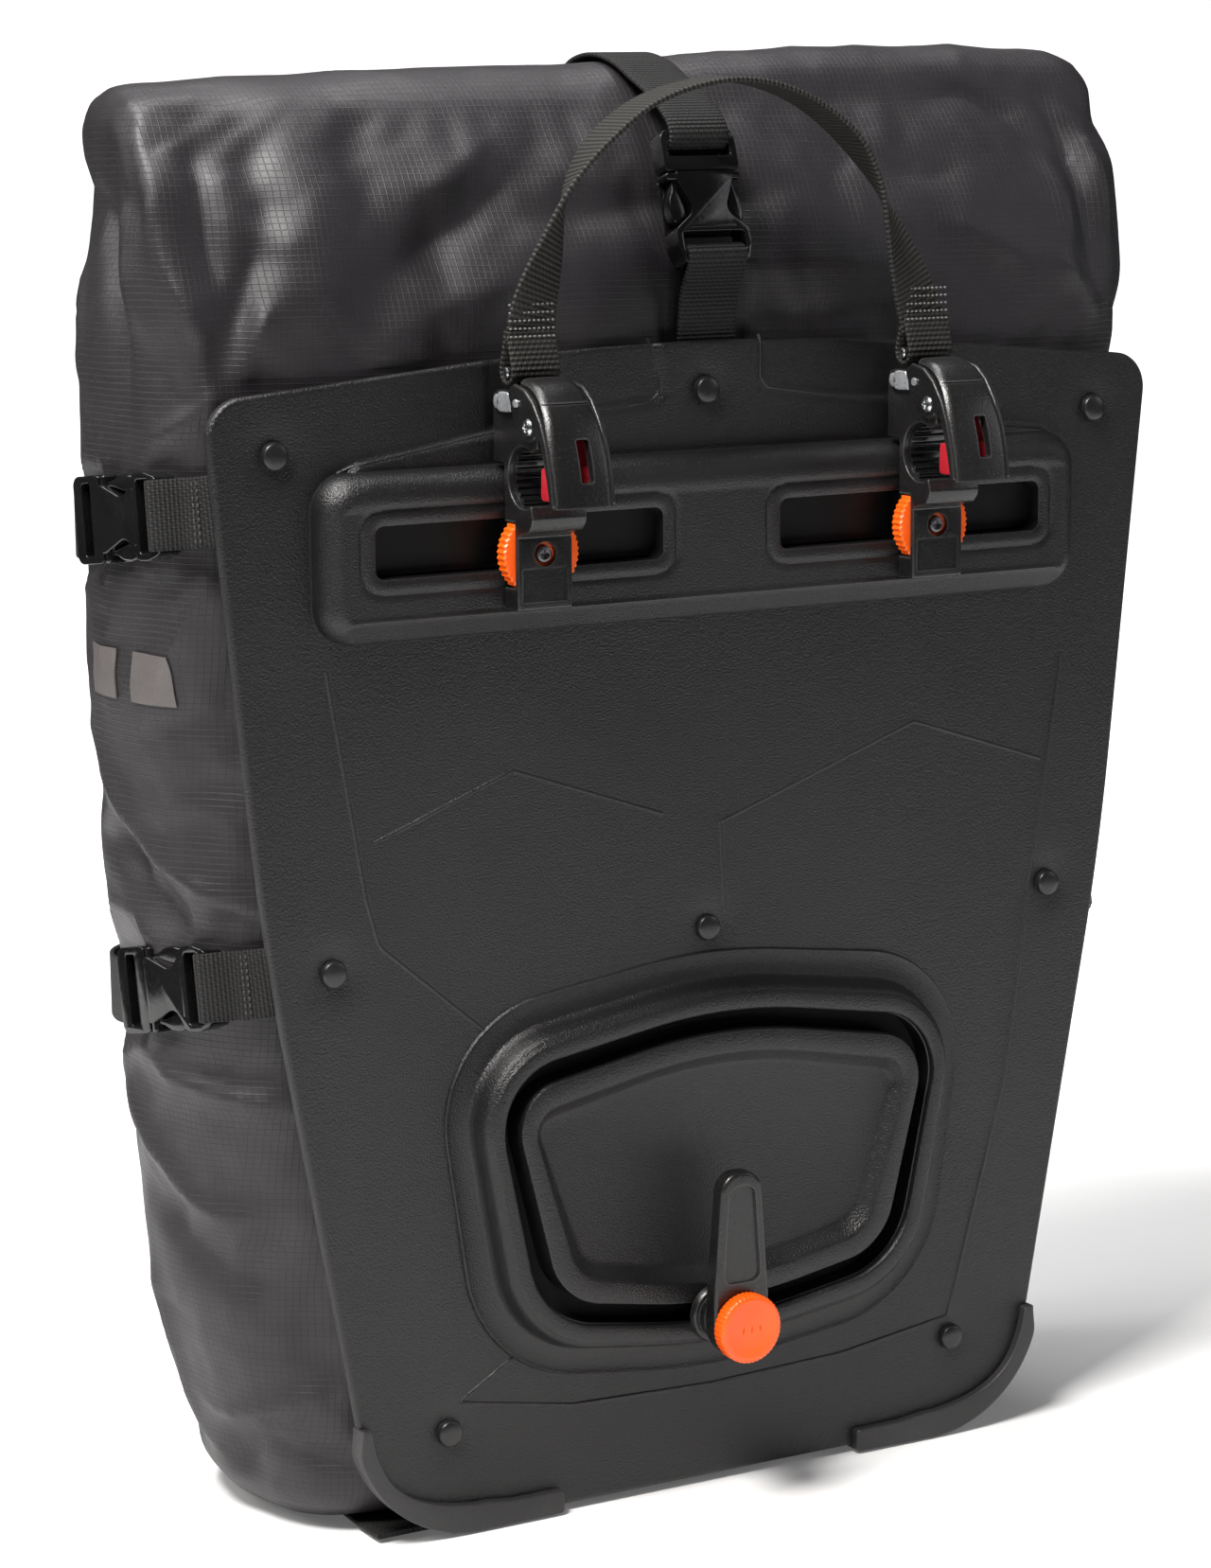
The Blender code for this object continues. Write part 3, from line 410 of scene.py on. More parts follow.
def fillet(corners, segments):
    """Closed outline through (u, v, radius) corners, each one rounded by an arc."""
    outline = []
    count = len(corners)
    for i, (u, v, radius) in enumerate(corners):
        here = Vector((u, v))
        back = (Vector(corners[i - 1][:2]) - here).normalized()
        ahead = (Vector(corners[(i + 1) % count][:2]) - here).normalized()
        half = math.acos(max(-1.0, min(1.0, back.dot(ahead)))) / 2
        if radius <= 0.0 or half > math.radians(89.5):
            outline.append(here)
            continue
        reach = radius / math.tan(half)
        centre = here + (back + ahead).normalized() * (radius / math.sin(half))
        first = here + back * reach - centre
        last = here + ahead * reach - centre
        sweep = first.angle_signed(last)
        for k in range(segments + 1):
            outline.append(centre + Matrix.Rotation(-sweep * k / segments, 2) @ first)
    return outline


def mirrored(half):
    """Corners of a closed outline, from its right half."""
    return list(half) + [(-u, v, r) for u, v, r in reversed(half) if abs(u) > 1e-9]


def arc(centre, radius, first, last, steps):
    """Points of an arc between two angles in degrees."""
    return [(centre[0] + radius * math.cos(math.radians(first + (last - first) * k / steps)),
             centre[1] + radius * math.sin(math.radians(first + (last - first) * k / steps)))
            for k in range(steps + 1)]


def filled(name, outlines, thickness, turn, bevel, segments=3):
    """A slab from flat outlines, the first outside and the others holes, moved by turn into place."""
    curve = bpy.data.curves.new(name, 'CURVE')
    curve.dimensions = '2D'
    curve.fill_mode = 'BOTH'
    curve.extrude = thickness / 2
    for outline in outlines:
        spline = curve.splines.new('POLY')
        spline.points.add(len(outline) - 1)
        spline.use_cyclic_u = True
        for point, (u, v) in zip(spline.points, outline):
            point.co = (u, v, 0.0, 1.0)
    guide = bpy.data.objects.new(name, curve)
    bpy.context.scene.collection.objects.link(guide)
    bpy.context.view_layer.update()
    mesh = bpy.data.meshes.new_from_object(guide.evaluated_get(bpy.context.evaluated_depsgraph_get()))
    bpy.data.objects.remove(guide, do_unlink=True)
    work = bmesh.new()
    work.from_mesh(mesh)
    bpy.data.meshes.remove(mesh)
    bmesh.ops.remove_doubles(work, verts=work.verts, dist=0.00001)
    bmesh.ops.dissolve_limit(work, angle_limit=math.radians(0.5), verts=work.verts, edges=work.edges)
    bmesh.ops.transform(work, matrix=turn, verts=work.verts)
    obj = to_object(name, work)
    return round_edges(obj, bevel, segments) if bevel else obj


def facing(name, outlines, y_front, y_back, bevel=0.0, segments=3):
    """Outlines in the x-z plane."""
    turn = Matrix.Translation((0, (y_front + y_back) / 2, 0)) @ Matrix.Rotation(math.pi / 2, 4, 'X')
    return filled(name, outlines, abs(y_back - y_front), turn, bevel, segments)


def sideways(name, outlines, x_left, x_right, bevel, segments=3):
    """Outlines of (y, z) points, as wide as asked along x."""
    turn = Matrix(((0, 0, 1, (x_left + x_right) / 2), (1, 0, 0, 0), (0, 1, 0, 0), (0, 0, 0, 1)))
    return filled(name, outlines, abs(x_right - x_left), turn, bevel, segments)


def block(name, low, high, bevel=0.0):
    """A box with rounded edges, or a cutter without a bevel."""
    work = bmesh.new()
    bmesh.ops.create_cube(work, size=1.0)
    size = Vector(high) - Vector(low)
    centre = (Vector(high) + Vector(low)) / 2
    bmesh.ops.transform(work, matrix=Matrix.Translation(centre) @ Matrix.Diagonal((*size, 1.0)),
                        verts=work.verts)
    obj = to_object(name, work)
    return round_edges(obj, bevel, 3) if bevel else obj


TURN_TO = {"x": Matrix.Rotation(math.pi / 2, 4, 'Y'), "y": Matrix.Rotation(-math.pi / 2, 4, 'X'),
           "z": Matrix.Identity(4)}


def turned(name, axis, start, profile, sides, ripple=None):
    """A solid of revolution through (distance along the axis, radius); ripple(angle, radius) scales it."""
    work = bmesh.new()
    turn = Matrix.Translation(start) @ TURN_TO[axis]
    rows = []
    for along, radius in profile:
        ring = []
        for k in range(sides):
            a = 2 * math.pi * k / sides
            r = radius * (ripple(a, radius) if ripple else 1.0)
            ring.append(work.verts.new(turn @ Vector((r * math.cos(a), r * math.sin(a), along))))
        rows.append(ring)
    for row, after in zip(rows, rows[1:]):
        for k in range(sides):
            work.faces.new((row[k], row[(k + 1) % sides], after[(k + 1) % sides], after[k]))
    work.faces.new(rows[0])
    work.faces.new(rows[-1])
    return to_object(name, work)


def skin(name, loops, caps=(True, True), smooth_angle=40.0):
    """A surface through closed loops of equal length, with a face over its first and last loop if asked."""
    work = bmesh.new()
    rows = [[work.verts.new(point) for point in loop] for loop in loops]
    count = len(rows[0])
    for row, after in zip(rows, rows[1:]):
        for i in range(count):
            k = (i + 1) % count
            work.faces.new((row[i], row[k], after[k], after[i]))
    if caps[0]:
        work.faces.new(rows[0])
    if caps[1]:
        work.faces.new(rows[-1])
    return to_object(name, work, smooth_angle)


def smooth_path(points, steps):
    """A smooth run through given points (Catmull-Rom)."""
    points = [Vector(p) for p in points]
    ends = [2 * points[0] - points[1]] + points + [2 * points[-1] - points[-2]]
    run = []
    for a, b, c, d in zip(ends, ends[1:], ends[2:], ends[3:]):
        for k in range(steps):
            t = k / steps
            run.append(0.5 * (2 * b + (c - a) * t + (2 * a - 5 * b + 4 * c - d) * t * t
                              + (3 * b - a - 3 * c + d) * t ** 3))
    run.append(points[-1])
    return run


def even_path(points, step):
    """The same run with points an even step apart."""
    lengths = [0.0]
    for a, b in zip(points, points[1:]):
        lengths.append(lengths[-1] + (b - a).length)
    count = max(2, round(lengths[-1] / step))
    marks = np.linspace(0.0, lengths[-1], count + 1)
    table = np.array([list(p) for p in points])
    columns = [np.interp(marks, lengths, table[:, i]) for i in range(3)]
    return [Vector(p) for p in zip(*columns)], marks


def ribbon(name, path, across, width, thick=WEB_THICK, step=0.0025):
    """Webbing along path with rounded selvedges and UVs in metres. across is one direction, or a list of one
    for each point of the path."""
    if isinstance(across, list):
        run = list(path)
        marks = np.concatenate([[0.0], np.cumsum([(b - a).length for a, b in zip(run, run[1:])])])
    else:
        run, marks = even_path(path, step)
    work = bmesh.new()
    layer = work.loops.layers.uv.new("UVMap")
    half, rise = width / 2, thick / 2
    bulge = 0.35 * rise
    section = [(-half, 0.0), (-half + bulge, rise * 0.8), (-half + 2.5 * bulge, rise)]
    section += [(half * (k / 3 - 1) * 0.86, rise) for k in range(1, 6)]
    section += [(half - 2.5 * bulge, rise), (half - bulge, rise * 0.8), (half, 0.0)]
    section += [(u, -v) for u, v in section[-2:0:-1]]
    rows = []
    for i, point in enumerate(run):
        travel = (run[min(i + 1, len(run) - 1)] - run[max(i - 1, 0)]).normalized()
        side = Vector(across[i] if isinstance(across, list) else across)
        side = (side - travel * side.dot(travel)).normalized()
        normal = travel.cross(side)
        rows.append([work.verts.new(point + side * u + normal * v) for u, v in section])
    count = len(section)
    for i, (row, after) in enumerate(zip(rows, rows[1:])):
        for k in range(count):
            m = (k + 1) % count
            face = work.faces.new((row[k], row[m], after[m], after[k]))
            for loop, (c, r) in zip(face.loops, ((k, i), (m, i), (m, i + 1), (k, i + 1))):
                loop[layer].uv = (section[c][0], marks[r])
    for row in (rows[0], rows[-1]):
        face = work.faces.new(row)
        for loop, c in zip(face.loops, range(count)):
            loop[layer].uv = (section[c][0], 0.0)
    return to_object(name, work, 50.0)


# ------------------------------------------------------------------------------------------ camera, light
CAMERA_LENS, CAMERA_SENSOR = 93.77, 36.0                   # millimetres
CAMERA_SPOT = Vector((-0.7762, -1.2827, 0.3229))
CAMERA_BACK = Vector((-0.48793, -0.85476, 0.17693))       # from the object towards the camera
CAMERA_RIGHT = Vector((0.86785, -0.49679, -0.00668))
AIM = (0.0, 0.0, 0.28)                                    # what the lights point at
WHITE = (1.0, 1.0, 1.0)
LIGHTS = [   # name, spot, size, watts, colour
    ("key", (-1.2, -0.6, 2.3), (0.7, 0.7), 96.0, (1.0, 0.975, 0.95)),
    ("rim_left", (-1.9, 1.0, 1.5), (0.5, 1.2), 20.0, (1.0, 0.98, 0.96)),
    ("top", (-0.1, 0.3, 2.1), (1.6, 0.5), 30.0, WHITE),
    ("fill", (1.9, -1.2, 1.2), (1.0, 1.2), 6.0, (0.95, 0.96, 1.0))]
WORLD_STRENGTH = 0.06
FLOOR_RIM, FLOOR_DROP = 1.10, 0.0005
SWEEP = [(FLOOR_RIM - 0.001, 0.0), (3.0, 0.0), (4.6, 0.3), (5.6, 1.1), (6.0, 2.4), (6.0, 6.0)]   # (radius, z)


def set_camera():
    data = bpy.data.cameras.new("camera")
    data.lens = CAMERA_LENS
    data.sensor_width = CAMERA_SENSOR
    camera = bpy.data.objects.new("camera", data)
    bpy.context.scene.collection.objects.link(camera)
    back = CAMERA_BACK.normalized()
    right = (CAMERA_RIGHT - back * CAMERA_RIGHT.dot(back)).normalized()
    up = back.cross(right)
    turn = Matrix((right, up, back)).transposed().to_4x4()
    turn.translation = ORIGIN + CAMERA_SPOT
    camera.matrix_world = turn
    bpy.context.scene.camera = camera


def area_light(name, spot, size, power, colour):
    """A soft light that the camera doesn't see."""
    data = bpy.data.lights.new(name, 'AREA')
    data.shape = 'RECTANGLE'
    data.size, data.size_y = size
    data.energy = power
    data.color = colour
    light = bpy.data.objects.new(name, data)
    light.location = spot
    light.rotation_euler = (Vector(AIM) - Vector(spot)).to_track_quat('-Z', 'Y').to_euler()
    light.visible_camera = False
    bpy.context.scene.collection.objects.link(light)


def backdrop():
    """A floor disc, and a white sweep round it that only the camera sees."""
    around = 96
    work = bmesh.new()
    bmesh.ops.create_circle(work, cap_ends=True, segments=around, radius=FLOOR_RIM)
    floor = to_object("floor", work, shift=False)
    floor.location.z = -FLOOR_DROP
    floor.data.materials.append(pale_floor("floor_pale", 0.10, 0.95))
    turns = np.linspace(0, 2 * math.pi, around, endpoint=False)
    loops = [[(r * math.cos(a), r * math.sin(a), z) for a in turns] for r, z in SWEEP]
    sweep = skin("backdrop", loops, caps=(False, False))
    sweep.data.transform(Matrix.Translation(-ORIGIN))
    sweep.location.z = -FLOOR_DROP - 0.0001
    sweep.data.materials.append(pale_floor("backdrop_white", 1.05, 1.05))
    for ray in ("diffuse", "glossy", "transmission", "volume_scatter", "shadow"):
        setattr(sweep, "visible_" + ray, False)


def studio():
    scene = bpy.context.scene
    scene.view_settings.view_transform = 'Standard'
    world = bpy.data.worlds.new("studio")
    world.use_nodes = True
    background = world.node_tree.nodes["Background"].inputs
    background["Color"].default_value = (*WHITE, 1.0)
    background["Strength"].default_value = WORLD_STRENGTH
    scene.world = world
    for light in LIGHTS:
        area_light(*light)
    backdrop()


# ------------------------------------------------------------------------------------------ strap runs
STRAP_SLOPE = {"upper": -7.0, "lower": -10.3}     # degrees
STRAP_YAW = {("upper", "left"): 13.3, ("lower", "left"): 17.0, ("upper", "right"): 5.0,
             ("lower", "right"): 8.0}
SIDE_STRAP_Z = {"upper": 0.1661, "lower": -0.0035}
SIDE_STRAP_X = {("upper", "left"): 0.1945, ("lower", "left"): 0.1795, ("upper", "right"): 0.1970,
                ("lower", "right"): 0.1815}
BAND_CORNER_X = {("upper", "left"): 0.1995, ("lower", "left"): 0.1905, ("upper", "right"): 0.1955,
                 ("lower", "right"): 0.1835}
BAND_DROP, BAND_BACK = 0.0030, 0.1332
BUCKLE_START, BUCKLE_OUT = 0.0200, 0.0062
WEB = 0.0250


def buckle_frame(across, out, along, start):
    """The matrix that carries a buckle's own (across, out, along) into the plate's frame."""
    frame = Matrix.Identity(4)
    for column, axis in enumerate((across, out, along, start)):
        frame.col[column][:3] = axis
    return frame


def side_frame(side, level, name):
    """A side buckle's frame, its three directions, and where its strap leaves the plate's edge."""
    slope, yaw = math.radians(STRAP_SLOPE[level]), math.radians(STRAP_YAW[level, name])
    along = Vector((side * math.sin(yaw), math.cos(yaw) * math.cos(slope), math.cos(yaw) * math.sin(slope)))
    out = Vector((side, 0, 0))
    out = (out - along * out.dot(along)).normalized()
    across = out.cross(along)
    edge = Vector((side * SIDE_STRAP_X[level, name], 0.0100, SIDE_STRAP_Z[level]))
    frame = buckle_frame(across, out, along, edge + along * BUCKLE_START + out * BUCKLE_OUT)
    return frame, along, out, across, edge


def band_run(level, side):
    """The band from a plug to the outer face, as it lies on the wall."""
    name = "left" if side < 0 else "right"
    _, along, out, _, edge = side_frame(side, level, name)
    end = edge + along * (BUCKLE_START + 0.0400) + out * BUCKLE_OUT
    fall = (0.0100 + 0.1170) * math.tan(math.radians(STRAP_SLOPE[level])) * 0.75
    height = SIDE_STRAP_Z[level] + fall - BAND_DROP
    corner = BAND_CORNER_X[level, name]
    return smooth_path([end - along * 0.0015 + out * 0.0015, end + along * 0.0010 - out * 0.0022,
                        end + along * 0.0045 - out * 0.0052, end + along * 0.0090 - out * 0.0062,
                        Vector((side * (corner + 0.0035), 0.1060, height + 0.0010)),
                        Vector((side * (corner - 0.0010), 0.1230, height)),
                        Vector((side * (corner - 0.0080), 0.1315, height)),
                        Vector((side * 0.1760, BAND_BACK, height)),
                        Vector((side * 0.1600, BAND_BACK, height))], 8)


# ------------------------------------------------------------------------------------------ bag fabric
BAND_Z = {"upper": local_centre("upper_band").z, "lower": local_centre("lower_band").z}
BAG_ROWS = mm([   # z, y of the rack side, y of the outer side, left wall's x at three depths, right wall's x
    (-218, 30, 108, (148, 158, 150), (148, 154, 144)),
    (-209, 11, 123.5, (152, 172, 159), (150, 159, 151)),
    (-130, 7, 130, (159, 193, 174), (157, 172, 164)),
    (-20, 7, 131, (178.5, 201.5, 188), (176.5, 188, 180)),
    (100, 7, 131, (190, 210.5, 197), (188, 200, 192)),
    (190, 7, 131, (196.5, 210.5, 196), (196, 207, 197)),
    (235, 9, 124, (202, 212, 198), (206, 208, 200)),
    (278, 22, 108, (206, 210, 200), (207, 208, 200)),
    (308, 44, 96, (206, 208, 202), (206, 207, 202))])
CLOSING_X = 0.0030        # the closing strap's middle


def bag_profile(z):
    """y of the rack side and of the outer side at a height."""
    rows = np.array([row[:3] for row in BAG_ROWS])
    return np.interp(z, rows[:, 0], rows[:, 1]), np.interp(z, rows[:, 0], rows[:, 2])


def bump_at(value, centre, spread):
    """A bell curve, 1 at its centre."""
    return np.exp(-((value - centre) / spread) ** 2)


def wall_at(side, y, z):
    """Half width of the bag on one side (-1 left, 1 right) at each y, for one height."""
    column = 3 if side < 0 else 4
    heights = [row[0] for row in BAG_ROWS]
    near, middle, far = (np.interp(z, heights, [row[column][k] for row in BAG_ROWS]) for k in range(3))
    rack, outer = bag_profile(z)
    t = (y - rack) / (outer - rack)
    a, b, c = 0.08, 0.55, 0.90
    return (near * (t - b) * (t - c) / ((a - b) * (a - c)) + middle * (t - a) * (t - c) / ((b - a) * (b - c))
            + far * (t - a) * (t - b) / ((c - a) * (c - b)))


ROLL_TOP = mm([(-207, 309.5), (-200, 313), (-100, 316.6), (-23, 318.2), (3, 319.2), (30, 321.2),
               (81, 323.8), (147, 324.6), (197.5, 321.5), (206.5, 318)])


def bag_shell():
    """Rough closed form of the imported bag: a loft with folded gussets near the top."""
    count, square = 180, 9.0
    angles = np.linspace(0, 2 * np.pi, count, endpoint=False)
    c, s = np.cos(angles), np.sin(angles)
    loops = []
    gusset_low, gusset_high, tuck_depth, tuck_width = 0.215, 0.265, 0.011, 0.012
    heights = [row[0] for row in BAG_ROWS]
    for z in np.concatenate([[heights[0], -0.2160], np.arange(-0.2120, 0.3070, 0.005), [heights[-1]]]):
        front, back = bag_profile(z)
        y = (front + back) / 2 + (back - front) / 2 * np.sign(s) * np.abs(s) ** (2 / square)
        wall = np.where(c < 0, wall_at(-1, y, z), wall_at(1, y, z))
        x = wall * np.sign(c) * np.abs(c) ** (2 / square)
        flank = np.clip((np.abs(x) / wall - 0.85) / 0.15, 0, 1) ** 2
        tuck = smoothstep((z - gusset_low) / (gusset_high - gusset_low))
        fold = tuck * (tuck_depth * bump_at(y, front + 0.60 * (back - front), tuck_width))
        x = x - np.sign(x) * flank * fold
        loops.append([(a, b, z) for a, b in zip(x, y)])
    return skin("bag_fabric", loops, smooth_angle=0)


def roll_form():
    """The rolled closure: a flattened roll along the top, bulging over the outer side."""
    loops = []
    for x in np.linspace(ROLL_TOP[0][0], ROLL_TOP[-1][0], 80):
        top = np.interp(x, [p[0] for p in ROLL_TOP], [p[1] for p in ROLL_TOP])
        rise, depth = 0.0185, 0.0265 + 0.0008 * math.sin(37 * x)
        loops.append([(x, 0.0690 + depth * math.cos(a), top - rise + rise * math.sin(a))
                      for a in np.linspace(0, 2 * math.pi, 44, endpoint=False)])
    return skin("roll", loops, smooth_angle=0)


CLOTH_FRAMES = 16
CLOTH_STIFF, CLOTH_SHEAR, CLOTH_BEND = 18.0, 8.0, 0.35
CLOTH_PRESSURE, CLOTH_SHRINK = 0.5, -0.010
CLOTH_SHIFT = 0.0045        # the furthest that the simulation may move the fabric
VOXEL = 0.0050


def add_cloth(obj, pinned):
    """Inflate the fabric a little, with the pinned vertices kept still."""
    obj.vertex_groups.new(name="pinned").add(pinned, 1.0, 'REPLACE')
    cloth = obj.modifiers.new("cloth", 'CLOTH')
    settings = cloth.settings
    settings.quality = 5
    settings.mass = 0.25
    settings.tension_stiffness = settings.compression_stiffness = CLOTH_STIFF
    settings.shear_stiffness = CLOTH_SHEAR
    settings.bending_stiffness = CLOTH_BEND
    settings.tension_damping = settings.compression_damping = 8.0
    settings.air_damping = 4.0
    settings.use_pressure = True
    settings.uniform_pressure_force = CLOTH_PRESSURE
    settings.shrink_min = CLOTH_SHRINK
    settings.vertex_group_mass = "pinned"
    settings.pin_stiffness = 1.0
    settings.effector_weights.gravity = 0.0
    cloth.collision_settings.use_collision = False
    cloth.collision_settings.use_self_collision = False
    cloth.point_cache.frame_start = 1
    cloth.point_cache.frame_end = CLOTH_FRAMES
    scene = bpy.context.scene
    for number in range(1, CLOTH_FRAMES + 1):
        scene.frame_set(number)
    apply_modifiers(obj)
    scene.frame_set(1)


def smoothstep(t):
    t = np.clip(t, 0, 1)
    return t * t * (3 - 2 * t)


FRONT_FOLDS = folds(   # (x, z) runs
    (4.5, 5, 1.3, [(-205, 299), (-204, 256), (-195, 226), (-193, 206)]),
    (-5, 6, 1.6, [(-188, 300), (-190, 260), (-186, 235)]),
    (4.6, 15, 1.8, [(-150, 290), (-153, 256), (-150, 215)]),
    (-4.4, 11, 1.7, [(-174, 300), (-168, 276), (-162, 256)]),
    (-4, 6, 1.5, [(-170, 264), (-181, 235), (-185, 220)]),
    (3.8, 5, 1.3, [(-169, 242), (-174, 230), (-183, 206)]),
    (-1.8, 10, 1.7, [(-135, 302), (-126, 278), (-130, 250)]),
    (-4.8, 9, 1.5, [(-56, 288), (-71, 277), (-99, 260), (-130, 242)]),
    (2.6, 7, 1.4, [(-64, 296), (-98, 276), (-118, 268)]),
    (3.6, 9.5, 1.6, [(-50, 248), (-79, 239), (-110, 230), (-142, 212)]),
    (-4, 9, 1.6, [(-90, 264), (-50, 265), (-12, 268), (27, 269), (65, 275)]),
    (3, 9, 1.6, [(-30, 247), (20, 244), (60, 244), (105, 240)]),
    (-2.2, 6, 1.4, [(15, 228), (50, 225), (90, 228)]),
    (-2.6, 8, 1.6, [(75, 286), (105, 276), (135, 280)]),
    (2.8, 8.5, 1.5, [(105, 262), (140, 248), (160, 233)]),
    (-2.6, 4.2, 1.2, [(120, 304), (140, 306), (156, 298), (164, 288)]),
    (-4, 5, 1.3, [(178, 305), (181, 278), (183, 248), (184, 228)]),
    (3.6, 4.5, 1.3, [(191, 296), (193, 270), (192, 245)]),
    (2.8, 6, 1.4, [(169, 285), (172, 260), (166, 240)]),
    (3, 4.5, 1.3, [(160, 245), (174, 235), (187, 218)]))

LEFT_FOLDS = folds(   # (y, z) runs
    (5.2, 6.5, 1.3, [(95, 80), (84, 71), (53, 41), (22, 24), (8, 13)]),
    (-4.2, 9, 1.6, [(90, 56), (56, 25), (25, 8)]),
    (2.8, 6, 1.3, [(105, 20), (70, 5), (30, -8)]),
    (3, 5, 1.2, [(18, 148), (30, 120), (42, 98)]),
    (-3, 6, 1.5, [(10, 130), (18, 100), (20, 70)]),
    (4.2, 5.5, 1.3, [(70, -38), (51, -44.5), (21, -51), (6, -62)]),
    (4.8, 6, 1.3, [(100, -48), (89, -55), (64, -76), (44, -93), (20, -97)]),
    (-4, 9, 1.6, [(80, -85), (50, -110), (25, -122)]),
    (4, 5.5, 1.3, [(86, -110), (82, -140), (77, -184), (64, -195)]),
    (3.6, 5, 1.2, [(70, -170), (53, -175), (20, -164), (8, -158)]),
    (-3.4, 5, 1.2, [(60, -200), (35, -184), (6, -198)]),
    (-5.5, 5, 1.3, [(82, 285), (75, 272), (60, 250), (49, 227), (47, 195)]),
    (3.6, 6, 1.4, [(45, 285), (42, 250), (33, 225)]),
    (3.4, 5.5, 1.3, [(95, 250), (85, 225), (88, 200)]),
    (3, 4.5, 1.2, [(10, 210), (24, 195), (40, 188)]))

BACK_FOLDS = folds(   # (x, z) runs on the outer face
    (4, 9, 1.5, [(-190, 230), (-130, 205), (-60, 198)]),
    (3.8, 9, 1.5, [(185, 235), (120, 212), (50, 202)]),
    (-3.6, 8, 1.4, [(-180, 125), (-135, 70), (-110, 35)]),
    (-3.4, 8, 1.4, [(175, 120), (125, 75), (108, 30)]),
    (3, 7.5, 1.4, [(-30, 140), (-50, 90), (-45, 45)]),
    (2.8, 7.5, 1.4, [(40, 135), (55, 90), (50, 50)]),
    (4, 8, 1.4, [(-170, -55), (-110, -90), (-50, -98)]),
    (3.6, 8, 1.4, [(160, -60), (100, -95), (50, -108)]),
    (-3.6, 7, 1.3, [(-150, -130), (-105, -165), (-85, -205)]),
    (-3.4, 7, 1.3, [(140, -125), (100, -160), (90, -200)]),
    (-4, 8, 1.5, [(-60, 260), (-100, 250), (-150, 262)]),
    (-3.8, 8, 1.5, [(60, 260), (105, 252), (155, 264)]))

RIGHT_FOLDS = folds(   # (y, z) runs
    (4.4, 6.5, 1.3, [(90, 90), (60, 52), (20, 30)]),
    (-3.2, 6, 1.4, [(20, 135), (40, 110), (50, 85)]),
    (4.2, 6, 1.3, [(95, -45), (60, -72), (25, -85)]),
    (3.6, 5.5, 1.3, [(85, -115), (75, -160), (50, -190)]),
    (-5, 5, 1.3, [(82, 285), (68, 255), (55, 220)]),
    (3.4, 5.5, 1.3, [(42, 280), (36, 245), (28, 215)]))


def gate(value):
    """0 to 1: how far a normal's component faces one way."""
    return smoothstep((value - 0.15) / 0.45)


def fold_height(u, v, rows):
    """Summed height of the folds at points (u, v) of their plane; each one fades out towards its ends."""
    total = np.zeros_like(u)
    for run, height, width, power in rows:
        run = [tuple(p) for p in smooth_path([(a, b, 0.0) for a, b in run], 5)]
        away = run_distance(u, v, [p[:2] for p in run])
        first, last = np.array(run[0][:2]), np.array(run[-1][:2])
        reach = np.hypot(*(last - first))
        end = np.minimum(np.hypot(u - first[0], v - first[1]), np.hypot(u - last[0], v - last[1]))
        total += height * np.exp(-(away / width) ** power) * (0.25 + 0.75 * smoothstep(end / (0.35 * reach)))
    return total


CRUMPLES = [   # depth, level, noise scale across and up, and a start of its own
    (0.0014, 0.35, 26.0, 15.0, 0.0), (0.0003, 0.3, 62.0, 38.0, 7.0)]


def spots_of(obj, what="co"):
    """One row for each vertex: its place in the model, or its normal."""
    values = np.zeros(len(obj.data.vertices) * 3)
    obj.data.vertices.foreach_get(what, values)
    return values.reshape(-1, 3)


def put_spots(obj, spots):
    """Move each vertex to its row of spots, which are in the plate's frame."""
    obj.data.vertices.foreach_set("co", (spots + np.array(ORIGIN)).reshape(-1))
    obj.data.update()


def crease_bag(bag):
    """Press the folds into the fabric along its normals, with fine crumples between them."""
    spots, normals = spots_of(bag) - np.array(ORIGIN), spots_of(bag, "normal")
    x, y, z = spots.T
    nx, ny, _ = normals.T
    height = gate(-ny) * fold_height(x, z, FRONT_FOLDS) * (z > 0.19)
    height += gate(-nx) * fold_height(y, z, LEFT_FOLDS)
    height += gate(ny) * fold_height(x, z, BACK_FOLDS)
    height += gate(nx) * fold_height(y, z, RIGHT_FOLDS)
    for depth, level, across, up, start in CRUMPLES:
        grain = np.array([noise.noise(Vector((a * across + start, b * across, c * up))) for a, b, c in spots])
        height += depth * (level - np.abs(grain))
    put_spots(bag, spots + normals * height[:, None])


def held_down(spots):
    """Which vertices the plate, the bands, the closing strap and the roll keep still."""
    x, y, z = spots.T
    front, back = bag_profile(z)
    behind_plate = (y < front + 0.006) & (z < 0.205) & (np.abs(x) < 0.17)
    at_band = np.any([np.abs(z - level) < 0.011 for level in BAND_Z.values()], axis=0)
    under_band = at_band & (y > 0.020) & ((np.abs(x) > 0.16) | (y > back - 0.02))
    under_strap = (np.abs(x - CLOSING_X) < 0.013) & ((y > 0.085) | (z > 0.250)) & (z > 0.17)
    rolled = (z > 0.300) | (z < -0.205)
    return np.flatnonzero(behind_plate | under_band | under_strap | rolled).tolist()


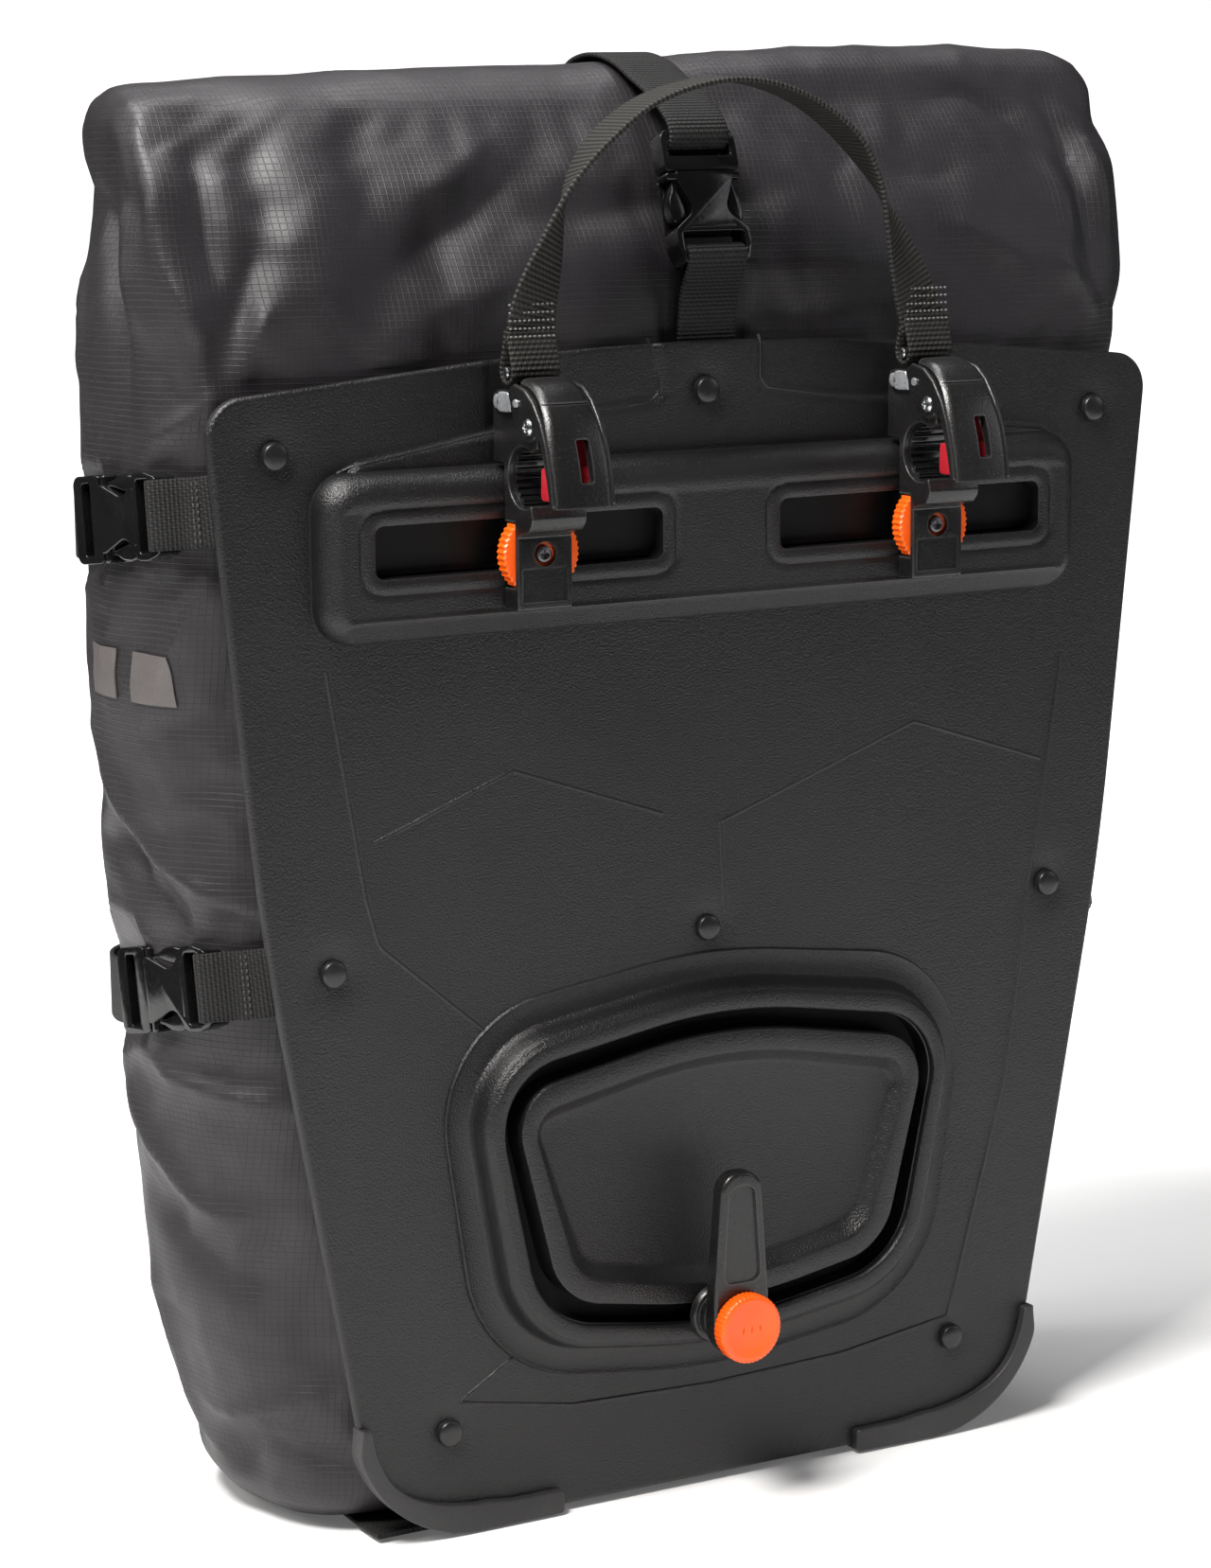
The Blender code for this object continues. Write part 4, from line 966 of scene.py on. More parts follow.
def bag_fabric():
    """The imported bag: a remeshed shell and roll, inflated, creased, and fitted to what holds it."""
    bag = join("bag_fabric", [bag_shell(), roll_form()])
    remesh = bag.modifiers.new("remesh", 'REMESH')
    remesh.mode = 'VOXEL'
    remesh.voxel_size = VOXEL
    smooth = bag.modifiers.new("smooth", 'SMOOTH')
    smooth.iterations = 2
    apply_modifiers(bag)
    rest = spots_of(bag) - np.array(ORIGIN)
    add_cloth(bag, held_down(rest))
    shift = spots_of(bag) - np.array(ORIGIN) - rest
    length = np.linalg.norm(shift, axis=1, keepdims=True)
    put_spots(bag, rest + shift * np.minimum(1.0, CLOTH_SHIFT / np.maximum(length, 1e-9)))
    subdivide = bag.modifiers.new("subdivide", 'SUBSURF')
    subdivide.levels = subdivide.render_levels = 1
    apply_modifiers(bag)
    crease_bag(bag)
    fit_bag(bag)
    bag.data.shade_smooth()
    register(bag, "fabric", "bag", "coated_fabric", "dry_bag")
    return bag


def fit_bag(bag):
    """Keep the fabric behind the plate, off the floor and inside its straps and buckles."""
    half_web, slack, margin = WEB / 2, 0.0024, 0.004
    behind_plate, plate_edge, outermost = 0.0058, 0.2150, 0.1345
    x, y, z = (spots_of(bag) - np.array(ORIGIN)).T
    y = np.where(z < plate_edge, np.maximum(y, behind_plate), y)
    beside = np.abs(x - CLOSING_X)
    clear = 0.0090 + np.maximum(0.0, z - 0.246) * 0.3125 - 0.7 * np.maximum(0.0, beside - 0.018)
    y = np.where((beside < 0.026) & (z < 0.305), np.maximum(y, clear), y)
    for level in ("upper", "lower"):
        for side in (-1, 1):
            run = band_run(level, side)[:40]
            depths = [p.y for p in run]
            limit = np.interp(y, depths, [abs(p.x) for p in run])
            centre = np.interp(y, depths, [p.z for p in run])
            limit += 0.55 * np.maximum(0.0, np.abs(z - centre) - half_web - margin) - slack
            x = np.where((x * side > limit) & (y < 0.1300), side * limit, x)
    put_spots(bag, np.stack([x, np.minimum(y, outermost), np.maximum(z, FLOOR_Z + 0.0006)], axis=1))


# ------------------------------------------------------------------------------------------ plate surface
PLATE_TOP, PLATE_BOTTOM = 0.2228, -0.2166
RIVETS = {name: local_centre("rivet_" + name) for name in (
    "top_left", "top_middle", "top_right", "middle_left", "centre", "middle_right", "bottom_left",
    "bottom_right")}
GROOVES = mm([   # moulded lines in the plate, as runs of (x, z)
    [(-157, 108), (-143, 25), (-138, 7), (-96, -29)],
    [(161, 90), (136, -78), (110, -171), (60, -178), (0, -180), (-60, -178), (-108, -169), (-78, -151)],
    [(-139, 45), (-83, 66), (-20, 44)],
    [(5, 38.5), (7, 3)],
    [(5, 38.5), (92, 69), (152, 49)]])
EDGES = mm([   # crisp rims of the panels behind the hooks and of the gussets
    [(-23.5, 219.5), (-19, 203), (-19.8, 199), (-23, 196.6), (-43, 195), (-70, 192.2)],
    [(23.5, 219.5), (23.5, 203.5), (26.2, 199.8), (55, 195.5), (78, 193.2)],
    [(-151.5, 177.6), (-145, 180), (-91.7, 188.8), (-72, 190.6)],
    [(96, 184.5), (119, 181.5), (150, 178.5), (154, 176)]])
SUNK = [   # panels behind the hooks, a step lower than the plate
    mm([(-90, 240), (-23.5, 240), (-18, 198.5), (-21.5, 196.5), (-43, 195), (-90, 190.5)]),
    mm([(23.5, 240), (23.5, 203), (26.5, 199.5), (55, 195.5), (96, 192), (96, 240)])]
RAISED = [   # gussets that run from the pod's shoulders up to the hooks
    mm([(-149, 175), (-144, 180.5), (-86, 189.3), (-72, 191), (-72, 150), (-149, 150)]),
    mm([(96, 184.5), (119, 181.5), (150, 178.5), (156, 173), (156, 150), (96, 150)])]


def plate_outline():
    return fillet(mirrored([(0.0, PLATE_TOP, 1.2), (0.2012, 0.2045, 0.014), (0.1820, 0.0100, 1.0),
                            (0.1410, PLATE_BOTTOM, 0.048)]), 14)


def run_distance(x, z, run):
    """Distance of each point to an open run of (x, z) corners."""
    best = np.full_like(x, 9.0)
    for (ax, az), (bx, bz) in zip(run, run[1:]):
        dx, dz = bx - ax, bz - az
        t = np.clip(((x - ax) * dx + (z - az) * dz) / (dx * dx + dz * dz + 1e-12), 0, 1)
        best = np.minimum(best, np.hypot(x - ax - t * dx, z - az - t * dz))
    return best


def inside_by(x, z, outline):
    """Distance to a closed outline: above 0 inside it and below 0 outside."""
    outline = [tuple(p) for p in outline]
    inside = np.zeros(x.shape, bool)
    for (ax, az), (bx, bz) in zip(outline, outline[1:] + outline[:1]):
        crosses = (az > z) != (bz > z)
        at = ax + (z - az) * (bx - ax) / (bz - az + (1e-12 if bz == az else 0.0))
        inside ^= crosses & (x < at)
    away = run_distance(x, z, outline + outline[:1])
    return np.where(inside, away, -away)


RIM_DROP, RIM_WIDTH = 0.0011, 0.0014
PANEL_SINK, GUSSET_RISE, STEP = 0.0018, 0.0024, 0.0018
DIMPLE_DEPTH, DIMPLE_WIDTH = 0.0013, 0.0095
WAVE = 0.0006
RIM_ROWS = (0.0, 0.0003, 0.0008, 0.0014, 0.0022, 0.0032, 0.0044)   # close rows next to a slab's rim


def spaced(length, step):
    """Shares of a run, 0 to 1, with close rows at both ends."""
    middle = np.linspace(RIM_ROWS[-1], length - RIM_ROWS[-1], max(2, round(length / step)))
    marks = np.concatenate([RIM_ROWS[:-1], middle, length - np.array(RIM_ROWS[:-1])[::-1]])
    return marks / length


def coons(outline, corners, step):
    """A grid that fills a closed outline: arrays x and z. corners are near its four turns, in order from
    bottom left to bottom right, top right and top left."""
    points = [Vector(p) for p in outline]
    at = [min(range(len(points)), key=lambda i: (points[i] - Vector(c)).length) for c in corners]
    forward = (at[1] - at[0]) % len(points) < (at[3] - at[0]) % len(points)
    if not forward:
        points = points[::-1]
        at = [len(points) - 1 - i for i in at]

    def side(first, last):
        count = (last - first) % len(points)
        run = [points[(first + k) % len(points)] for k in range(count + 1)]
        lengths = np.concatenate([[0.0], np.cumsum([(b - a).length for a, b in zip(run, run[1:])])])
        return run, lengths

    def sample(run, lengths, shares):
        table = np.array([list(p) for p in run])
        return np.stack([np.interp(shares * lengths[-1], lengths, table[:, i]) for i in (0, 1)], axis=1)

    bottom, right, top, left = (side(at[i], at[(i + 1) % 4]) for i in range(4))
    u = spaced((bottom[1][-1] + top[1][-1]) / 2, step)
    v = spaced((left[1][-1] + right[1][-1]) / 2, step)
    b, t = sample(*bottom, u), sample(*top, 1 - u)
    r, l = sample(*right, v), sample(*left, 1 - v)
    u, v = u[None, :, None], v[:, None, None]
    grid = (1 - v) * b[None] + v * t[None] + (1 - u) * l[:, None] + u * r[:, None]
    grid -= (1 - u) * (1 - v) * b[0] + u * (1 - v) * b[-1] + (1 - u) * v * t[0] + u * v * t[-1]
    return grid[..., 0], grid[..., 1]


def relief_slab(name, x, z, front, back, closed=True):
    """A slab whose front face is a height field over a coons grid; front and back are y values."""
    work = bmesh.new()
    rows, columns = x.shape
    face = [[work.verts.new((x[j, i], front[j, i], z[j, i])) for i in range(columns)] for j in range(rows)]
    for j in range(rows - 1):
        for i in range(columns - 1):
            work.faces.new((face[j][i], face[j][i + 1], face[j + 1][i + 1], face[j + 1][i]))
    rim = [(0, i) for i in range(columns)] + [(j, columns - 1) for j in range(1, rows)]
    rim += [(rows - 1, i) for i in range(columns - 2, -1, -1)] + [(j, 0) for j in range(rows - 2, 0, -1)]
    behind = [work.verts.new((x[j, i], back, z[j, i])) for j, i in rim]
    for k, (j, i) in enumerate(rim):
        m = (k + 1) % len(rim)
        work.faces.new((face[rim[m][0]][rim[m][1]], face[j][i], behind[k], behind[m]))
    if closed:
        work.faces.new(behind)
    return to_object(name, work, 50.0)


def plate_front(x, z):
    """y of the plate's front: a rolled rim, sunk panels, gussets, rivet dimples and a slow wave."""
    away = inside_by(x, z, plate_outline())
    rise = -RIM_DROP * (1 - np.clip(away / RIM_WIDTH, 0, 1)) ** 2
    for depth, outlines in ((-PANEL_SINK, SUNK), (GUSSET_RISE, RAISED)):
        for outline in outlines:
            rise += depth * smoothstep((inside_by(x, z, outline) + STEP) / (2 * STEP))
    for spot in RIVETS.values():
        rise -= DIMPLE_DEPTH * np.exp(-(np.hypot(x - spot.x, z - spot.z) / DIMPLE_WIDTH) ** 2)
    rise += WAVE * np.sin(9.0 * x + 2.0) * np.cos(11.0 * z) * smoothstep(away / 0.03)
    return -rise


POD_HALF, POD_LOW, POD_HIGH, POD_CORNER = 0.1620, 0.1170, 0.1780, 0.0140
SLOT_X, SLOT_Z, SLOT_HALF, SLOT_CORNER = (0.0250, 0.1420), 0.1500, 0.0095, 0.0035
TUBE_FORM_Z, TUBE_FORM_R, TUBE_FORM_LOW = 0.1685, 0.0105, 0.1600     # the half tube along the pod's top
POD_RISE, LIP_TOP = 0.0112, 0.1262
LIP = mm([(116.5, 3), (118, 5.2), (118.5, 5.6), (125, 11.4), (126.2, 12)])    # (z, rise) of the lower lip


def rounded_box(u_low, v_low, u_high, v_high, radius, segments=6):
    """Outline of a rectangle with rounded corners."""
    return fillet([(u_low, v_low, radius), (u_high, v_low, radius), (u_high, v_high, radius),
                   (u_low, v_high, radius)], segments)


def slot_boxes(grow, radius):
    """Outlines of the pod's two slots, grown by a distance."""
    for side in (-1, 1):
        near, far = sorted((side * SLOT_X[0], side * SLOT_X[1]))
        yield rounded_box(near - grow, SLOT_Z - SLOT_HALF - grow, far + grow, SLOT_Z + SLOT_HALF + grow,
                          radius)


def pod_front(x, z):
    """Height of the rail pod: shoulders, a chamfered lower lip, the flat band, and the tube form above."""
    away = inside_by(x, z, rounded_box(-POD_HALF, POD_LOW, POD_HALF, POD_HIGH, POD_CORNER, 10))
    reach = 0.0085 + 0.0040 * smoothstep((np.abs(x) - 0.140) / 0.015)
    shoulder = 0.0116 * np.sqrt(np.clip(1 - (1 - np.clip(away / reach, 0, 1)) ** 2.3, 0, 1))
    lip = np.interp(z, [p[0] for p in LIP], [p[1] for p in LIP])
    tube = 0.0015 + np.sqrt(np.clip(TUBE_FORM_R ** 2 - (z - TUBE_FORM_Z) ** 2, 0, 1))
    tube = np.where(z < TUBE_FORM_Z, np.maximum(tube, POD_RISE), tube)
    rise = np.where(z < LIP_TOP, lip, np.where(z < TUBE_FORM_LOW, POD_RISE, tube))
    rise = np.minimum(rise, shoulder + 0.0004)
    for outline in slot_boxes(0.0055, 0.0080):
        ring = np.abs(inside_by(x, z, outline))
        rise -= 0.0009 * np.exp(-(ring / 0.0009) ** 2)
    for outline in slot_boxes(0.0, SLOT_CORNER):
        rise -= 0.0008 * smoothstep((inside_by(x, z, outline) + 0.0016) / 0.0016)
    return -rise


def bead(run, half=0.0010, rise=0.0006):
    """A thin raised moulding line on the plate along an (x, z) run."""
    points, _ = even_path([Vector((a, 0.0, b)) for a, b in run], 0.0030)
    loops = []
    for i, point in enumerate(points):
        ahead = (points[min(i + 1, len(points) - 1)] - points[max(i - 1, 0)]).normalized()
        side = Vector((ahead.z, 0.0, -ahead.x))
        base = float(plate_front(np.array([point.x]), np.array([point.z]))[0])
        loops.append([point + side * half * u + Vector((0.0, base + 0.0003 - (rise + 0.0003) * v, 0.0))
                      for u, v in ((-1, 0), (-0.55, 0.75), (0, 1), (0.55, 0.75), (1, 0))])
    return skin("bead", loops, smooth_angle=60.0)


def back_plate():
    """The moulded plate with its rail pod and raised lines, and the rail inside the pod."""
    corners = mm([(-127, -202.6), (127, -202.6), (197.2, 201), (-197.2, 201)])
    x, z = coons(plate_outline(), corners, 0.00125)
    plate = relief_slab("plate_skin", x, z, plate_front(x, z), PLATE_BACK, closed=False)
    rim = rounded_box(-POD_HALF, POD_LOW, POD_HALF, POD_HIGH, POD_CORNER, 10)
    inset = 0.004
    corners = [(-POD_HALF + inset, POD_LOW + inset), (POD_HALF - inset, POD_LOW + inset),
               (POD_HALF - inset, POD_HIGH - inset), (-POD_HALF + inset, POD_HIGH - inset)]
    x, z = coons(rim, corners, 0.0010)
    pod = relief_slab("pod", x, z, pod_front(x, z), 0.0010)
    cutters = [facing("slot_cut", [outline], -0.0200, 0.0050) for outline in slot_boxes(0.0, SLOT_CORNER)]
    cut(pod, *cutters)
    beads = [bead(run) for run in GROOVES] + [bead(run, 0.0007, 0.0005) for run in EDGES]
    both = join("plate_skin", [plate, pod] + beads)
    crisp(both, 50)
    register(both, "plate", "bag", "grained_plastic", "back_plate")
    rail_low, rail_high = local_box("hook_rail")
    rail = block("rail_bar", rail_low, rail_high, 0.0008)
    register(rail, "rail", "bag", "rail_aluminium", "hook_rail")


# ------------------------------------------------------------------------------------------ lower track
TRACK_HALF, TRACK_TOP, TRACK_LOW, TRACK_ARCH = 0.0990, -0.0286, -0.1533, 0.2000
TRACK_SLOT = 0.0074
TRACK_SHOULDER, TRACK_TOE = 0.0260, 0.0330


def shield(grow, rise):
    """The lower track's outline: a shield with an arched top, offset from the slot's outer edge."""
    half, top, low = TRACK_HALF + grow, TRACK_TOP + grow, TRACK_LOW - grow
    outline = fillet(mirrored([(0.0, top, TRACK_ARCH + grow), (half, top - 0.0165, TRACK_SHOULDER + grow),
                               (half - 0.0200, low + 0.0125, TRACK_TOE + grow),
                               (0.0, low, TRACK_ARCH + grow)]), 22)
    return [(u, -rise, v) for u, v in outline]


def lower_track():
    """The raised ring round the lower hook's slot, the island inside it, and a near-black sheet on the slot's
    floor: painted shade down in the slot.
    """
    profile = mm([(20.4, 0), (20.2, 1), (19.7, 1.5), (19, 1.3), (18, 1), (11.2, 1.6), (10.2, 2.4),
                  (9.4, 5.6), (8.4, 9.4), (7.8, 10.6), (7, 11.4), (6.2, 11.9), (5.8, 12.6), (5, 13),
                  (1.2, 13), (0.4, 12.7), (0, 12), (0, 9.8), (-0.4, 9.5), (-0.4, 0)])
    ring = skin("track_ring", [shield(*row) for row in profile], caps=(False, False))
    register(ring, "plate", "bag", "grained_plastic", "lower_hook_track")
    inner = -TRACK_SLOT
    profile = [(inner, 0.0), (inner, 0.0116), (inner - 0.0004, 0.0126), (inner - 0.0012, 0.0130),
               (inner - 0.0070, 0.0130), (inner - 0.0078, 0.0127), (inner - 0.0086, 0.0118),
               (inner - 0.0118, 0.0083), (inner - 0.0126, 0.0078), (inner - 0.0138, 0.0075)]
    island = skin("track_island_skin", [shield(*row) for row in profile], caps=(False, True))
    register(island, "plate", "bag", "grained_plastic", "track_island")
    # Painted shade: a near-black sheet over the slot's floor, in front of the plate, for the shade deep in
    # the slot.
    floor = skin("track_floor", [shield(0.001, 0.0012), shield(inner - 0.001, 0.0012)], caps=(False, False))
    register(floor, "hollow", "bag", "grained_plastic")


def rivets():
    """The domed rivet heads."""
    radius, proud = 0.0048, 0.0022
    for name, spot in RIVETS.items():
        bends = [math.pi / 2 * k / 8 for k in range(9)]
        dome = [(-proud + 0.0013 * (1 - math.cos(a)), radius * math.sin(a)) for a in bends]
        dome[0] = (-proud, 0.0002)
        dome += [(-proud + 0.0018, radius + 0.0002), (0.0012, radius + 0.0003)]
        head = turned("rivet_head_" + name, "y", (spot.x, 0.0, spot.z), dome, 40)
        register(head, "rivet", "bag", "rivet_plastic", "rivet_" + name)


def corner_guards():
    """A band round each lower corner of the plate, with a foot under it."""
    centre_x, centre_z, radius = 0.1005, -0.1686, 0.0480
    for side, name in ((-1, "left"), (1, "right")):
        outer = arc((0, 0), 1.0, -4.0, -93.0, 30)
        inner = arc((0, 0), 1.0, -5.0, -93.0, 30)
        swell = [smoothstep(k / 5) for k in range(31)]
        band = [(centre_x + (radius + 0.0012 + 0.0028 * w) * c, centre_z + (radius + 0.0008 + 0.0016 * w) * s)
                for (c, s), w in zip(outer, swell)]
        band += mm([(66.5, -218.6), (65.5, -217.6), (65.5, -210.6), (66.5, -209.6), (86, -209.6)])
        thick = [0.0030 + 0.0054 * smoothstep((k - 8) / 18) for k in range(31)]
        band += [(centre_x + (radius - t) * c, centre_z + (radius - t) * s)
                 for (c, s), t in reversed(list(zip(inner, thick)))]
        band = [(side * u, v) for u, v in band]
        guard = facing("guard_band_" + name, [band], -0.0036, 0.0050, 0.0013, 4)
        near, far = sorted((side * 0.0665, side * 0.1125))
        foot = block("guard_foot_" + name, (near, -0.0015, -0.2190), (far, 0.0240, -0.2150), 0.0014)
        whole = join("guard_" + name, [guard, foot])
        crisp(whole, 35)
        register(whole, "guard", "bag", "guard_plastic", "corner_guard_" + name)


# ------------------------------------------------------------------------------------------ rail hooks
TUBE = (-0.0260, 0.1750)
TUBE_R = 0.0110
HOOK_HALF = 0.0110
HANDLE_PIN = (-0.0120, 0.2110)
WHEEL_Z = 0.1470
TEETH = 44        # ridges round a clamp wheel and round the knob


def cross_recess(axis, spot, size, floor):
    """Cutters for a cross-head screw's recess, which ends at floor on the screw's axis."""
    index, planes = {"x": (0, (1, 2)), "y": (1, (0, 2))}[axis]
    bars = []
    for reach in ((size, size * 0.24), (size * 0.24, size)):
        low, high = Vector(spot), Vector(spot)
        for plane, half in zip(planes, reach):
            low[plane] -= half
            high[plane] += half
        low[index], high[index] = floor - 0.001, floor
        bars.append(block("cross", low, high))
    return bars


def knurl(teeth, inside, depth):
    """A ripple for turned: ridges round every ring wider than inside."""
    def ripple(angle, radius):
        return 1.0 if radius < inside else 1.0 - depth * (0.5 + 0.5 * math.cos(teeth * angle))
    return ripple


def hook_body(name, x):
    """A rail hook: the jaw with its ribbed liner, the clamp block, and room for latch and wheel."""
    body_name = name + "_hook"
    back = -0.0123
    outline = [(back, 0.1270), (-0.0213, 0.1270), (-0.0220, 0.1277), (-0.0220, 0.1515), (-0.0216, 0.1533),
               (-0.0240, 0.1545), (-0.0300, 0.1560), (-0.0323, 0.1586), (-0.0330, 0.1610), (-0.0322, 0.1636)]
    outline += arc(TUBE, TUBE_R, 240, 485, 40)
    outline += [(-0.0345, 0.1850), (-0.0368, 0.1862), (-0.0370, 0.1950), (-0.0300, 0.2020), (-0.0240, 0.2048),
                (-0.0080, 0.2048), (-0.0052, 0.2036), (-0.0045, 0.2010), (-0.0045, 0.1795), (back, 0.1795)]
    body = sideways("hook_form_" + name, [outline], x - HOOK_HALF, x + HOOK_HALF, 0.0009)
    room = turned("room", "y", (x, 0, WHEEL_Z), [(-0.0201, 0.0161), (-0.0080, 0.0161)], 64)
    channel = block("room", (x - 0.0080, -0.0500, 0.1892), (x + 0.0080, -0.0163, 0.2200))
    throat = block("room", (x - 0.0080, -0.0170, 0.1960), (x + 0.0080, -0.0060, 0.2200))
    window = turned("room", "y", (x, 0, WHEEL_Z), [(-0.0300, 0.0044), (-0.0100, 0.0044)], 40)
    panel = block("room", (x - 0.0090, -0.0300, 0.1300), (x + 0.0090, -0.0213, 0.1420))
    cut(body, room, channel, throat, window, panel)
    crisp(body, 32)
    register(body, "hook", body_name, "hook_plastic", "hook_body_" + name)
    liner = [(TUBE[0] + r * math.cos(a), TUBE[1] + r * math.sin(a))
             for r, angles in ((TUBE_R + 0.0002, np.radians(np.linspace(-70, 80, 24))),
                               (TUBE_R - 0.0009, np.radians(np.linspace(80, -70, 24)))) for a in angles]
    ribs = [sideways("liner", [liner], x - 0.0085, x + 0.0085, 0.0003, 2)]
    for degrees in range(-60, 80, 18):
        a = math.radians(degrees)
        spot = (x, TUBE[0] + (TUBE_R - 0.0010) * math.cos(a), TUBE[1] + (TUBE_R - 0.0010) * math.sin(a))
        ribs.append(turned("rib", "x", spot, [(-0.0083, 0.0007), (0.0083, 0.0007)], 12))
    insert = join("jaw_liner_" + name, ribs)
    crisp(insert, 35)
    register(insert, "buckle", body_name, "buckle_plastic")


COVER_OUTER = mm([(-22.4, 209.6), (-30, 208), (-37, 203.5), (-43, 196), (-47.3, 186.5), (-50, 177.5),
                  (-52, 166)])
COVER_INNER = mm([(-22.4, 206), (-29, 204.5), (-34.7, 200.8), (-40, 193.8), (-44, 185), (-46.7, 176),
                  (-48.6, 166)])


def hook_cover(name, x):
    """The curved cover: a crowned roof that narrows towards the handle, and cheeks down to the screws."""
    outer = smooth_path([(a, b, 0.0) for a, b in COVER_OUTER], 5)
    inner = smooth_path([(a, b, 0.0) for a, b in COVER_INNER], 5)
    loops = []
    for a, b in zip(outer, inner):
        half = 0.0094 + 0.0022 * float(smoothstep((0.2095 - a.y) / 0.0250))
        low = a.lerp(b, 0.42)
        crown = [(-half, b), (-half, low), (-half + 0.0012, a.lerp(b, 0.10)), (-half + 0.0030, a),
                 (0.0, a.lerp(b, -0.03)), (half - 0.0030, a), (half - 0.0012, a.lerp(b, 0.10)),
                 (half, low), (half, b)]
        loops.append([(x + u, p.x, p.y) for u, p in crown])
    roof = skin("roof", loops, smooth_angle=28.0)
    slot = facing("slot", [rounded_box(x - 0.0010, 0.1745, x + 0.0042, 0.1895, 0.0010)], -0.0700, -0.0380)
    seam = block("seam", (x - 0.0200, -0.0600, 0.2012), (x + 0.0200, -0.0376, 0.2016))
    cut(roof, slot, seam)
    lobe = mm([(-22.4, 208), (-30, 206.4), (-36.4, 202.2), (-42.1, 195.2), (-46.3, 186.1), (-49, 177.3),
               (-50.9, 166.8), (-48.2, 166.4), (-45.8, 176), (-43.2, 184), (-41.2, 188.4), (-39, 190)])
    lobe += arc((-0.0333, 0.1934), 0.0054, 340, 212, 10)[::-1]
    lobe += mm([(-26.2, 192.5), (-22.2, 196.2), (-19, 200), (-18.6, 205)])
    cheeks = [sideways("cheek", [lobe], x + side * 0.0117 - 0.0010, x + side * 0.0117 + 0.0010, 0.0007, 4)
              for side in (-1, 1)]
    cover = join("cover_" + name, [roof] + cheeks)
    crisp(cover, 35)
    register(cover, "hook", name + "_hook", "hook_plastic", "hook_cover_" + name)


def latch(name, x):
    """Red latch: closes the mouth in front of the tube and rises with the handle."""
    y_pin, z_pin = HANDLE_PIN
    bar = mm([(-30, 192.2), (-27, 193), (-18.2, 193.5), (-13.5, 204.5), (-11, 208.2)])
    bar += arc((y_pin, z_pin), 0.0030, -60, 200, 16)
    bar += [(-0.0180, 0.1985), (-0.0285, 0.1968)]
    upper = sideways("latch_bar_" + name, [bar], x - 0.0072, x + 0.0072, 0.0008)
    register(upper, "buckle", name + "_latch", "hook_plastic")
    outline = mm([(-45.5, 167.8), (-37.5, 167.5), (-37.5, 188.8), (-36.8, 189.9), (-29.9, 192.2),
                  (-29.9, 196), (-34, 193.5), (-38.5, 187), (-42, 180)])
    shank = sideways("latch_shank", [outline], x - 0.0072, x + 0.0072, 0.0008)
    pad = sideways("latch_pad", [mm([(-45.2, 168), (-37.2, 167.8), (-36.6, 170), (-37, 179.2),
                                     (-42.6, 179.6)])], x - 0.0098, x + 0.0098, 0.0008)
    piece = join("latch_form_" + name, [shank, pad])
    crisp(piece, 35)
    register(piece, "red", name + "_latch", "red_plastic", "latch_" + name)
    pin = turned("handle_bar_" + name, "x", (x, y_pin, z_pin), mm([(-10, 1.4), (-9.6, 1.9), (9.6, 1.9),
                                                                   (10, 1.4)]), 24)
    register(pin, "steel", name + "_latch", "zinc_steel", "handle_pin_" + name)


def hook_hardware(name, x):
    """A hook's cover screw, chrome clip and pin, clamp bolt, rail nut and orange clamp wheel."""
    body = name + "_hook"
    face = x - 0.0128
    centre = (face, -0.0333, 0.1934)
    screw = turned("screw_head_" + name, "x", centre,
                   mm([(-1.2, 0.6), (-1.1, 1.6), (-0.7, 2.5), (-0.1, 3), (1.2, 3)]), 32)
    cut(screw, *cross_recess("x", centre, 0.0016, face - 0.0006))
    register(screw, "steel", body, "zinc_steel", "cover_screw_" + name)
    pin = turned("pin_rod_" + name, "x", (x, -0.0100, 0.2010),
                 mm([(-12.8, 1.8), (-12.4, 2.6), (-11.2, 2.6), (-11.2, 2), (11.2, 2), (11.2, 2.6),
                     (12.4, 2.6), (12.8, 1.8)]), 28)
    clip = sideways("clip", [fillet(mm([(-22.5, 197.8, 2.2), (-10.4, 197.4, 2.2), (-10.4, 204.6, 2.4),
                                        (-19, 204.6, 2.4)]), 5)],
                    x - 0.0128, x - 0.0112, 0.0006, 3)
    rivet = turned("clip_eye", "x", (x - 0.0128, -0.0247, 0.2012), [(-0.0006, 0.0006), (-0.0005, 0.0014),
                                                                   (0.0016, 0.0018)], 24)
    chrome = join("pin_" + name, [pin, clip, rivet])
    crisp(chrome, 35)
    register(chrome, "chrome", body, "zinc_steel", "frame_pin_" + name)
    bolt = turned("bolt_head_" + name, "y", (x, 0, WHEEL_Z),
                  mm([(-21.8, 2.2), (-21.5, 2.8), (-20.8, 3.1), (-19, 3.1), (-13, 2.6)]),
                  36)
    cut(bolt, *cross_recess("y", (x, 0, WHEEL_Z), 0.0018, -0.0211))
    register(bolt, "dark_steel", body, "zinc_steel", "clamp_bolt_" + name)
    nut_low, nut_high = local_box("rail_nut_" + name)
    register(block("rail_nut_form_" + name, nut_low, nut_high, 0.0007), "rail", body, "zinc_steel",
             "rail_nut_" + name)
    wheel = turned("wheel_" + name, "y", (x, 0, WHEEL_Z),
                   mm([(-19.6, 3), (-19.8, 4), (-19.8, 12.5), (-19.6, 14.8), (-19, 15.4), (-14.2, 15.4),
                       (-13.6, 14.8), (-13.4, 4)]), TEETH * 6, knurl(TEETH, 0.013, 0.040))
    register(wheel, "orange", name + "_wheel", "orange_plastic", "clamp_wheel_" + name)


def rail_hooks():
    for name in ("left", "right"):
        x = local_centre("hook_body_" + name).x
        hook_body(name, x)
        hook_cover(name, x)
        latch(name, x)
        hook_hardware(name, x)


